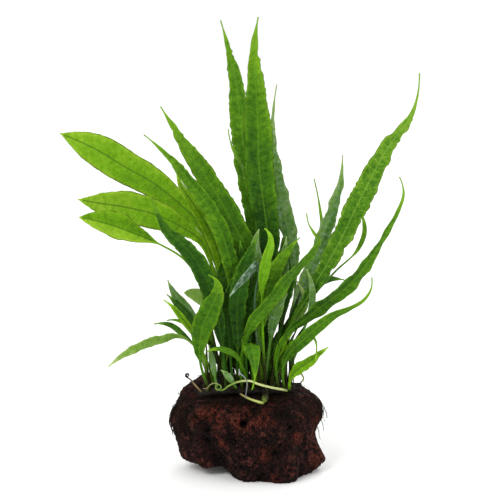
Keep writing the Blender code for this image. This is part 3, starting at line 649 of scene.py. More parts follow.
@dataclass(frozen=True)
class LavaStone:
    """The lump of lava: one surface as a function of direction from its middle.

    Attributes:
        middle: The point that the directions start from.
        knuckles: Points that the surface passes through.
        bulge: How narrowly a knuckle bulges.
        slack: How far the surface may miss a knuckle to stay smooth.
        lumps: How many small lumps.
        lump_bulge: How narrowly a lump bulges.
        lump_height: Height of the largest lump.
        saddle: Rise and blend of the lump-free top that the stem lies on.
        crags: Middle, reach and height of each crag; a hollow's height is below 0.
        holes: Middle, radius and depth of each large hole.
        rusty: Middle and reach of each patch that is redder.
        cells: Squares along an edge of each of the cube's six faces.
    """

    middle: Point = (0.0, -1.0, 24.0)
    knuckles: tuple = (
        # outline seen from the front, clockwise from the left shoulder
        (-21, 12, 47), (-27, 10, 44), (-33, 6, 41), (-37, 1, 37), (-39, -2, 32), (-40, -4, 24),
        (-38, -6, 18), (-35, -8, 12), (-33, -10, 8), (-28, -13, 6), (-22, -17, 3), (-15, -20, 9),
        (-9, -25, 4), (-1, -29, 0), (7, -30, 2), (16, -32, 0), (23, -27, 0), (26, -22, 3),
        (33, -15, 4), (38.5, -9, 6.5), (35, -7, 11), (32, -6, 17), (34, -5, 22), (36, -4, 28),
        (35, -2, 34), (30, 1, 39), (24, 6, 42), (17, 10, 41),
        # front face
        (-31, -17, 34), (-21, -24, 36), (-9, -26, 37), (3, -27, 36), (14, -25, 36), (25, -19, 36),
        (-32, -17, 23), (-22, -24, 19), (-10, -31, 26), (4, -34, 26), (18, -31, 25), (29, -20, 24),
        (-26, -19, 10), (-12, -28, 13), (4, -33, 12), (19, -32, 10), (30, -17, 12),
        # the hollow on top that the stem lies in
        (-25, -12, 37.5), (-17, -12, 37.5), (-8, -13, 37.5), (1, -13, 37.5), (10, -12, 37.5), (19, -9, 39),
        (-24, -1, 43), (-14, -4, 41), (-5, -6, 39.5), (3, -5, 39.5), (11, -3, 40), (-12, 5, 44.5),
        (-2, 3, 42.5), (7, 4, 41.5), (15, 3, 41), (-10, 14, 45), (3, 14, 43),
        # back
        (-32, 12, 32), (-20, 24, 34), (-2, 28, 34), (15, 25, 32), (29, 13, 30), (-33, 12, 16),
        (-19, 25, 18), (0, 31, 19), (18, 26, 17), (32, 11, 15), (-22, 14, 3), (-4, 24, 1),
        (14, 22, 1), (28, 8, 1),
        # underside
        (-24, -5, 3), (-15, -9, 8), (-17, 4, 3), (-5, -14, -2), (7, -16, -4), (19, -14, -3), (-2, 2, -3),
        (12, 2, -4), (24, -4, -1), (-8, 14, -1), (6, 14, -3),
    )
    bulge: float = 17.0
    slack: float = 0.05
    lumps: int = 46
    lump_bulge: float = 70.0
    lump_height: float = 1.1
    saddle: tuple[float, float] = (0.45, 0.2)
    crags: tuple = (
        # front face
        ((-22, -27, 28), 4.5, -2.2), ((-22, -24.5, 20), 5, -2.4), ((-27.5, -24, 29), 3.5, 1.5),
        ((-26.5, -20.5, 19.5), 4, 1.0), ((-16, -29.5, 27), 4, 1.4), ((-15.5, -28, 18), 4, 0.9),
        ((-21.5, -22.5, 36.5), 5, 1.4), ((-7, -28, 35.5), 5, 1.2), ((-9, -31.5, 22.5), 4.5, -1.8),
        ((3, -35.5, 22), 5, -1.7), ((14.5, -27.5, 34.5), 4, -1.2), ((13.5, -33.5, 24.5), 4.5, 1.4),
        ((20, -29, 29.5), 4.5, -1.5), ((12.5, -33.5, 16.5), 6, -1.8), ((7, -34.5, 26.5), 4, 0.9),
        ((0, -33, 11.5), 6, 1.0), ((20, -31, 11), 5, 0.9), ((-14, -25, 11.5), 5, -1.0),
        # flanks
        ((-31.5, -17.5, 23.5), 4.5, -1.4), ((-38, -9, 25.5), 4, 1.0), ((-32, -16.5, 33.5), 4.5, -0.8),
        ((-37, 3, 20), 5, -1.2), ((-38, -2, 37), 6, -1.8), ((28, -19, 19), 5, 1.0), ((25, -24.5, 14.5), 4.5, -1.3),
        ((34, 3, 30), 5, 1.0), ((33, 5, 20), 5, -1.2),
        # rim at the ground
        ((37, -9, 7), 3.5, 1.8), ((35, -10, 2), 4, -2.0), ((26, -24, 3.5), 3.5, -2.0), ((7, -31, 2), 3, -3.5),
        ((-16, -19, 7), 4, -2.5), ((-8, -25, 3), 4, -1.5), ((-21.5, -18, 4.5), 4, 1.2), ((-34, -9, 8), 4, 2.0),
        # back
        ((-18, 24, 28), 7, -1.8), ((16, 26, 18), 6, -1.6), ((-8, 28, 20), 5, 1.2), ((6, 28, 30), 5, 1.1),
        ((26, 17, 28), 5, 1.1), ((-29, 17, 20), 5, -1.3), ((-12, 26, 9), 5, -1.2), ((26, 14, 10), 5, -1.1),
    )
    holes: tuple = (
        ((-3.5, -32, 30.5), 2.4, 4.5), ((-22, -26, 26), 1.8, 1.5), ((-22.5, -23.5, 20), 2.2, 1.5), ((14.5, -27.5, 34), 1.8, 2.0),
        ((-8, -31, 21), 1.9, 1.5), ((13, -33, 15), 2.0, 1.5), ((-31, -17.5, 22), 1.7, 1.5), ((21, -29, 28), 1.6, 1.5),
        ((-24, 20, 26), 2.0, 3.0), ((12, 27, 30), 1.8, 3.0), ((35, 8, 20), 1.7, 2.0), ((-2, 30, 14), 1.6, 2.6),
    )
    rusty: tuple = (((-19, -27, 33), 10), ((-3, -32, 33), 9), ((8, -31, 16), 7), ((36, -11, 9), 11), ((33, -14, 30), 8))
    cells: int = 128
    finish: LavaFinish = LavaFinish()

    def radius(self, directions: Array) -> Array:
        """Distance from the middle to the plain surface: the mean reach of the knuckles, plus a bump towards each
        knuckle that falls off with the angle, weighted so that the sum meets them all, plus small lumps, plus crags
        that fall off as a bell with the distance from their middles.

        Args:
            directions: Unit directions, three numbers along the last axis.

        Returns:
            Millimetres for each direction.
        """
        knuckles = np.array(self.knuckles, float) - self.middle
        reach = np.linalg.norm(knuckles, axis=1)
        towards = knuckles / reach[:, None]
        pull = np.exp(self.bulge * (towards @ towards.T - 1.0)) + self.slack * np.eye(len(reach))
        weights = np.linalg.solve(pull, reach - reach.mean())
        radius = reach.mean() + np.exp(self.bulge * (directions @ towards.T - 1.0)) @ weights
        lumps = stone_spots(self.lumps, SEED)
        sizes = np.random.default_rng(SEED + 1).uniform(-1.0, 1.0, self.lumps) * self.lump_height
        bare = 1.0 - self.on_saddle(directions)
        radius = radius + np.exp(self.lump_bulge * (directions @ lumps.T - 1.0)) @ sizes * bare
        return radius + self.crag_height(np.array(self.middle) + directions * radius[..., None]) * bare

    def crag_height(self, places: Array) -> Array:
        """How far the crags lift the surface at places, below 0 in a hollow: for each crag its height times a bell
        of the distance to its middle over its reach."""
        lift = np.zeros(places.shape[:-1])
        for spot, reach, height in self.crags:
            away = np.linalg.norm(places - np.array(spot), axis=-1) / reach
            lift += height * np.exp(-away * away)
        return lift

    def on_saddle(self, directions: Array) -> Array:
        """1 on the top under the stem, 0 on the flanks."""
        return np.clip((directions[..., 2] - self.saddle[0]) / self.saddle[1], 0.0, 1.0)

    def ground(self, directions: Array, radius: Array) -> Array:
        """The radius, cut where it would pass below the ground."""
        down = np.minimum(directions[..., 2], -1e-6)
        return np.where(directions[..., 2] < 0.0, np.minimum(radius, -self.middle[2] / down), radius)

    def skin(self, directions: Array, clear: float | Array = 0.0) -> Array:
        """Points of the plain surface, or that far out from it.

        Args:
            directions: Unit directions.
            clear: Millimetres outwards.

        Returns:
            Places in millimetres.
        """
        radius = self.ground(directions, self.radius(directions)) + clear
        return np.array(self.middle) + directions * radius[..., None]

    def aim(self, places: Array) -> Array:
        """Directions from the middle towards places."""
        return unit(np.asarray(places, float) - self.middle)

    def cube_grid(self) -> tuple[Array, Array]:
        """A cube's six faces as grids of squares, blown up to a ball: each grid place is the tangent of its angle
        from the face's middle, made one long. The faces share the places along their edges.

        Returns:
            Directions, and four numbers to a face, seen from outside.
        """
        n = self.cells
        a, b = (line.ravel() for line in np.meshgrid(np.arange(n + 1), np.arange(n + 1), indexing="ij"))
        whole, squares = [], []
        corner = (np.arange(n)[:, None] * (n + 1) + np.arange(n)).ravel()
        square = np.stack((corner, corner + n + 1, corner + n + 2, corner + 1), axis=-1)
        for axis, end in product(range(3), (0, n)):
            place = np.empty((len(a), 3), int)
            place[:, axis] = end
            place[:, (axis + 1) % 3] = a
            place[:, (axis + 2) % 3] = b
            squares.append((square if end else square[:, ::-1]) + len(a) * len(whole))
            whole.append(place)
        shared, numbers = np.unique(np.concatenate(whole), axis=0, return_inverse=True)
        bent = np.tan((shared / n - 0.5) * math.pi / 2.0)
        return unit(bent), numbers.ravel()[np.concatenate(squares)]

    def relief(self, places: Array, directions: Array) -> tuple[Array, Array, Array]:
        """What the weathered skin adds to the plain one: holes as rounded bowls, lumps and crumbs as the size of two
        noises at bent and turned places, which leaves sharp creases along their zero lines, grains from the zero
        lines of fine noise, and three sizes of round pits, all fading on the saddle.

        Args:
            places: Points of the plain surface.
            directions: Their directions.

        Returns:
            Millimetres outwards, how deep each point lies in a pit, and how far it stands out.
        """
        bend = np.stack([smooth_noise(places, 3.4, seed) for seed in (13, 14, 15)], axis=-1)
        bent = (places + 1.6 * bend) @ TURN
        lumpy, crumbly = np.abs(smooth_noise(bent, 4.6, 11)), np.abs(smooth_noise(bent, 2.1, 12))
        crests = 2.0 * lumpy + 1.2 * crumbly - 1.0
        grains = 1.0 - 2.0 * np.abs(smooth_noise(places, 1.5, 23)) - 0.8 * np.abs(smooth_noise(places, 0.9, 24))
        large = pit_depth(places, 5.0, 0.30, 31)
        middle = pit_depth(places, 2.6, 0.45, 41)
        small = pit_depth(places, 1.5, 0.60, 51)
        out = 0.45 * crests + 0.34 * grains
        sunk = 0.9 * large + 0.65 * middle + 0.42 * small
        deep = 0.5 * large + 0.45 * middle + 0.34 * small
        deep = deep + 0.40 * ease(0.16, 0.0, lumpy) + 0.34 * ease(0.2, 0.0, crumbly)
        for spot, radius, depth in self.holes:
            near = ease(1.0, 0.35, np.linalg.norm(places - self.skin(self.aim(spot)[None])[0], axis=-1) / radius)
            sunk += depth * near
            deep = np.maximum(deep, near * 1.4)
        calm = 1.0 - 0.75 * self.on_saddle(directions)
        return np.minimum(out, 0.6) * calm - sunk * calm, deep, np.clip(0.5 + 0.35 * crests + 0.45 * grains, 0.0, 1.5)

    def build(self) -> bpy.types.Object:
        """Builds the stone and dresses it.

        Returns:
            The stone, in place of its solid.
        """
        directions, squares = self.cube_grid()
        plain = self.skin(directions)
        out, deep, rise = self.relief(plain, directions)
        resting = (plain[:, 2] < 0.02) & (directions[:, 2] < 0.0)
        radius = self.ground(directions, self.radius(directions)) + np.where(resting, np.minimum(out, 0.0), out)
        places = np.array(self.middle) + directions * radius[:, None]
        places[:, 2] = np.maximum(places[:, 2], 0.0)
        crag = self.crag_height(plain)
        redness = ease(0.1, 0.9, smooth_noise(plain, 11.0, 61) + 0.5 * smooth_noise(plain, 4.0, 62) + 0.2 * crag)
        for spot, wide in self.rusty:
            redness = np.maximum(redness, 0.9 * ease(wide, 0.4 * wide, np.linalg.norm(plain - np.array(spot), axis=-1)))
        # Painted shade: darker in the hollows of the crags, broken by noise.
        shade = ease(-0.2, -1.8, crag + 0.7 * smooth_noise(plain, 6.0, 63))
        # Painted light: the pit mark darkens the pits and creases as painted shade, and the crag terms in the rise and
        # the redness lighten the crests as painted highlight.
        marks = {"pit": np.clip(deep, 0.0, 1.0), "rise": rise - deep + 0.16 * crag, "redness": redness, "shade": shade}
        piece = make_piece("lava_stone_weathered", places, squares, np.empty((0, 3), int), marks)
        return dress(piece, self.finish.material("lava"), ("lava_stone",))


def dress(piece: bpy.types.Object, material: bpy.types.Material, solids: tuple[str, ...] = ()
          ) -> bpy.types.Object:
    """Gives a finished piece its material, the body that it rides on and the solids that it stands for.

    Args:
        piece: The finished piece.
        material: Its material.
        solids: Names of the solids that it replaces.

    Returns:
        The piece.
    """
    piece.data.materials.append(material)
    if solids:
        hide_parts(*solids)
    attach(piece, BODY)
    log.info("%s: %d faces", piece.name, len(piece.data.polygons))
    return piece


# Fronds.


class Tone(Enum):
    """The finishes of the blades."""

    BRIGHT = LeafFinish("blade_bright", srgb(64, 112, 6), srgb(108, 160, 12), srgb(150, 190, 46), srgb(60, 98, 16), 0.65,
                        0.42, 0.24, veins=-0.03)
    YELLOW = LeafFinish("blade_bright", srgb(70, 118, 6), srgb(104, 162, 14), srgb(140, 190, 40), srgb(128, 180, 44), 0.3,
                        0.42, 0.26, veins=-0.03)
    GREEN = LeafFinish("blade_green", srgb(22, 60, 2), srgb(66, 114, 8), srgb(112, 158, 26), srgb(92, 140, 26), 0.45, 0.38,
                       0.16)
    VEINED = LeafFinish("blade_green", srgb(22, 62, 3), srgb(66, 116, 12), srgb(122, 164, 42), srgb(126, 166, 60), 0.4, 0.38,
                        0.16, veins=0.24)
    # Painted shade: a darker copy of the green, for blades deep in the tuft.
    SHADED_DEEP = LeafFinish("blade_deep", srgb(12, 38, 2), srgb(38, 82, 6), srgb(88, 136, 24), srgb(60, 106, 18), 0.4, 0.36, 0.12)
    GREY = LeafFinish("blade_grey", srgb(36, 76, 22), srgb(84, 128, 50), srgb(136, 166, 92), srgb(112, 150, 74), 0.4, 0.42,
                      0.16, 0.25)
    GLOSSY = LeafFinish("blade_grey", srgb(26, 56, 30), srgb(66, 98, 64), srgb(140, 166, 136), srgb(50, 82, 50), 0.5,
                        0.26, 0.06, 0.5)
    PALE = LeafFinish("blade_pale", srgb(74, 112, 34), srgb(120, 158, 62), srgb(166, 190, 110), srgb(104, 142, 50), 0.4, 0.42,
                      0.24)

    def material(self) -> bpy.types.Material:
        """The tone's material, made the first time that it is asked for."""
        name = "frond_" + self.name.lower()
        return bpy.data.materials.get(name) or self.value.material(name)


class Habit(Enum):
    """How a blade's margin and face are worked: swing of the margin out of the blade, depth of its notches and
    height of the puckers between the veins, in millimetres."""

    CALM = (0.30, 0.14, 0.12)
    BROAD = (0.75, 0.26, 0.16)
    TOOTHED = (0.60, 0.50, 0.20)
    RUFFLED = (1.00, 0.70, 0.26)


@dataclass(frozen=True)
class Frond:
    """A frond: its midrib from foot to tip, the form of its blade and its looks.

    Attributes:
        node: The solid that it replaces, or the name of a piece that has none.
        points: The midrib.
        width: Width where the blade is widest.
        across: Where its right edge points, at the foot and at the tip.
        stipe: Share of the length that is bare stalk.
        belly: Where along the blade it is widest.
        taper: The larger the number the longer the tip.
        fold: How far each half rises, in degrees.
        tone: Its finish.
        habit: How its margin and face are worked.
        light: How much lighter its tip is, its right half, and its foot: painted light and shade, the foot mostly
            darker where the tuft shades it.
        solid: Whether a solid stands behind it.
        rise: The larger the number the longer the narrow foot of the blade.
        strap: Width that the blade keeps on its way to the tip.
    """

    node: str
    points: tuple
    width: float
    across: tuple = (RIGHT, RIGHT)
    stipe: float = 0.2
    belly: float = 0.5
    taper: float = 1.1
    fold: float = 10.0
    tone: Tone = Tone.GREEN
    habit: Habit = Habit.CALM
    light: tuple[float, float, float] = (0.3, 0.0, -0.2)
    solid: bool = True
    rise: float = 1.2
    strap: float = 0.0

    def seed(self) -> int:
        """A number of its own, from the letters of its name."""
        return sum((place + 1) * ord(letter) for place, letter in enumerate(self.node)) % 9973

    def half_width(self, along: Array) -> Array:
        """Half the width at a share of the length: the largest of the stalk's, the strap's and the blade's. The
        blade's is a power of one minus the squared way left to its belly, below it, and a power of one minus the
        squared way from its belly to the tip, above it; the strap's ends late, with a fourth power."""
        blade = np.clip((along - self.stipe) / (1.0 - self.stipe), 0.0, 1.0)
        before = np.clip(1.0 - blade / self.belly, 0.0, 1.0)
        after = np.clip((blade - self.belly) / (1.0 - self.belly), 0.0, 1.0)
        form = (1.0 - before**2) ** self.rise * (1.0 - after**2) ** self.taper
        strap = self.strap * (1.0 - before**2) * (1.0 - after**4)
        stalk = STALK_WIDTH + (TIP_WIDTH - STALK_WIDTH) * along
        return 0.5 * np.maximum(np.maximum(stalk, strap), self.width * form)

    def surface(self) -> tuple[Array, dict[str, Array], Array]:
        """The closed skin of stalk and blade.

        A point is the midrib's place, plus the way across times the half width and its notches, plus the way up
        times the rise of the fold, the swing of the margin, the pucker between side veins and half the thickness.
        The thickness is an ellipse's in the stalk and a thin plate's with a raised midrib in the blade.

        Returns:
            Loops of points, the numbers kept at each point, and its place on the pattern.
        """
        swing, notch, pucker = self.habit.value
        given = np.array(self.points, float)
        length = np.linalg.norm(np.diff(given, axis=0), axis=1).sum()
        rows = int(np.clip(length / ROW_STEP, 36, 190))
        path, direction = smooth_path(self.points, rows)
        path[0] -= direction[0] * FOOT_SUNK
        along = np.linspace(0.0, 1.0, rows)
        reach = along * length
        across = np.outer(1.0 - along, self.across[0]) + np.outer(along, self.across[1])
        across = square_to(across, direction)
        upper = np.cross(across, direction)
        half = self.half_width(along)
        leafy = ease(0.0, 1.0, 2.0 * half / STALK_WIDTH - 1.0)

        even = np.linspace(-1.0, 1.0, 2 * HALF_COLUMNS + 1)
        top = 0.5 * even + 0.5 * even**3
        side = np.concatenate((top, top[-2:0:-1]))[None, :]
        face = np.concatenate((np.ones(len(top)), -np.ones(len(top) - 2)))[None, :]
        face[0, (0, len(top) - 1)] = 0.0
        right = side >= 0.0
        rng = np.random.default_rng(self.seed())
        shift = rng.uniform(0.0, 2.0 * math.pi, 8)
        r, h, l = reach[:, None], half[:, None], leafy[:, None]
        own = np.where(right, 1.0, 1.7)
        edge_place = np.stack(np.broadcast_arrays(r / NOTCH_STEP, own * 31.0, shift[0] * 7.0), axis=-1)
        notches = smooth_noise(edge_place, 1.0, 3) * 0.8 + smooth_noise(edge_place, 2.7, 4) * 1.2
        fine_tip = ease(0.3, 2.5, h)
        spread = side * (h + notch * l * fine_tip * notches * np.abs(side))
        fold = np.abs(side) * h * math.tan(math.radians(self.fold))
        wave = 2.0 * math.pi * r / (WAVE_STEP * (0.8 + 0.4 * rng.random()))
        margin = swing * l * fine_tip * side**2 * (np.sin(wave + own * shift[2]) + 0.5 * np.sin(1.7 * wave + own * shift[3]))
        phase = (r - 0.55 * np.abs(spread)) / VEIN_STEP + np.where(right, 0.5, 0.0)
        calm = ease(0.25, 1.6, np.abs(spread)) * (1.0 - np.abs(side) ** 5) * l * fine_tip
        swell = pucker * calm * (np.abs(np.sin(math.pi * phase)) - 0.6)
        where = path[:, None, :] + across[:, None, :] * spread[..., None]
        swell += 1.1 * pucker * calm * smooth_noise(where, 2.2, self.seed())
        edge = np.sqrt(np.clip(1.0 - side**6, 0.0, 1.0))
        rib = RIB_HEIGHT * (1.0 - 0.7 * r / length) * np.exp(-((spread / RIB_WIDTH) ** 2))
        plate = 0.5 * BLADE_THICKNESS * edge + rib * np.where(face > 0.0, 0.45, 1.0) * edge
        round_stalk = 0.5 * STALK_THICKNESS * np.sqrt(np.clip(1.0 - side**2, 0.0, 1.0)) * np.clip(h / 0.75, 0.35, 1.0)
        thick = l * plate + (1.0 - l) * round_stalk
        lift = fold + margin + swell + face * thick
        loops = path[:, None, :] + across[:, None, :] * spread[..., None] + upper[:, None, :] * lift[..., None]

        tip, half_light, foot = self.light
        # Painted light and shade: the tip lighter, partly its own younger tone; the foot darker where the tuft shades
        # it; one half lighter than the other as the shade of its fold; the margins much lighter as light through the
        # thin edge. A faint cloud of tone, and the underside a little darker.
        light = 0.5 + tip * ease(0.72, 1.0, along)[:, None] + foot * ease(0.75, 0.15, along)[:, None]
        light = light + 0.5 * half_light * np.clip(side * 4.0, -1.0, 1.0) + 0.10 * smooth_noise(where, 9.0, self.seed() + 5)
        light = light + 0.50 * np.abs(side) ** 7 - 0.06 * (face < 0.0)
        stalk_light = ease(-0.1, 0.9 * self.stipe + 0.02, along)[:, None]
        stalk_light = np.minimum(stalk_light, 0.8 + 0.2 * ease(0.6, 0.8, along)[:, None])
        kept = l * light + (1.0 - l) * stalk_light
        lamina = np.stack(np.broadcast_arrays(spread, r, l), axis=-1)
        marks = {"light": close_ends(kept[..., None])[:, 0], "lamina": close_ends(lamina)}
        pattern = close_ends(np.stack(np.broadcast_arrays(0.5 + 0.5 * side, along[:, None]), axis=-1))
        return loops, marks, pattern

    def build(self) -> bpy.types.Object:
        """Builds the frond and dresses it.

        Returns:
            The frond, in place of its solid where it has one.
        """
        loops, marks, pattern = self.surface()
        quads, fans = loop_faces(*loops.shape[:2])
        piece = make_piece(self.node + "_blade", close_ends(loops), quads, fans, marks, pattern)
        return dress(piece, self.tone.material(), (self.node,) if self.solid else ())


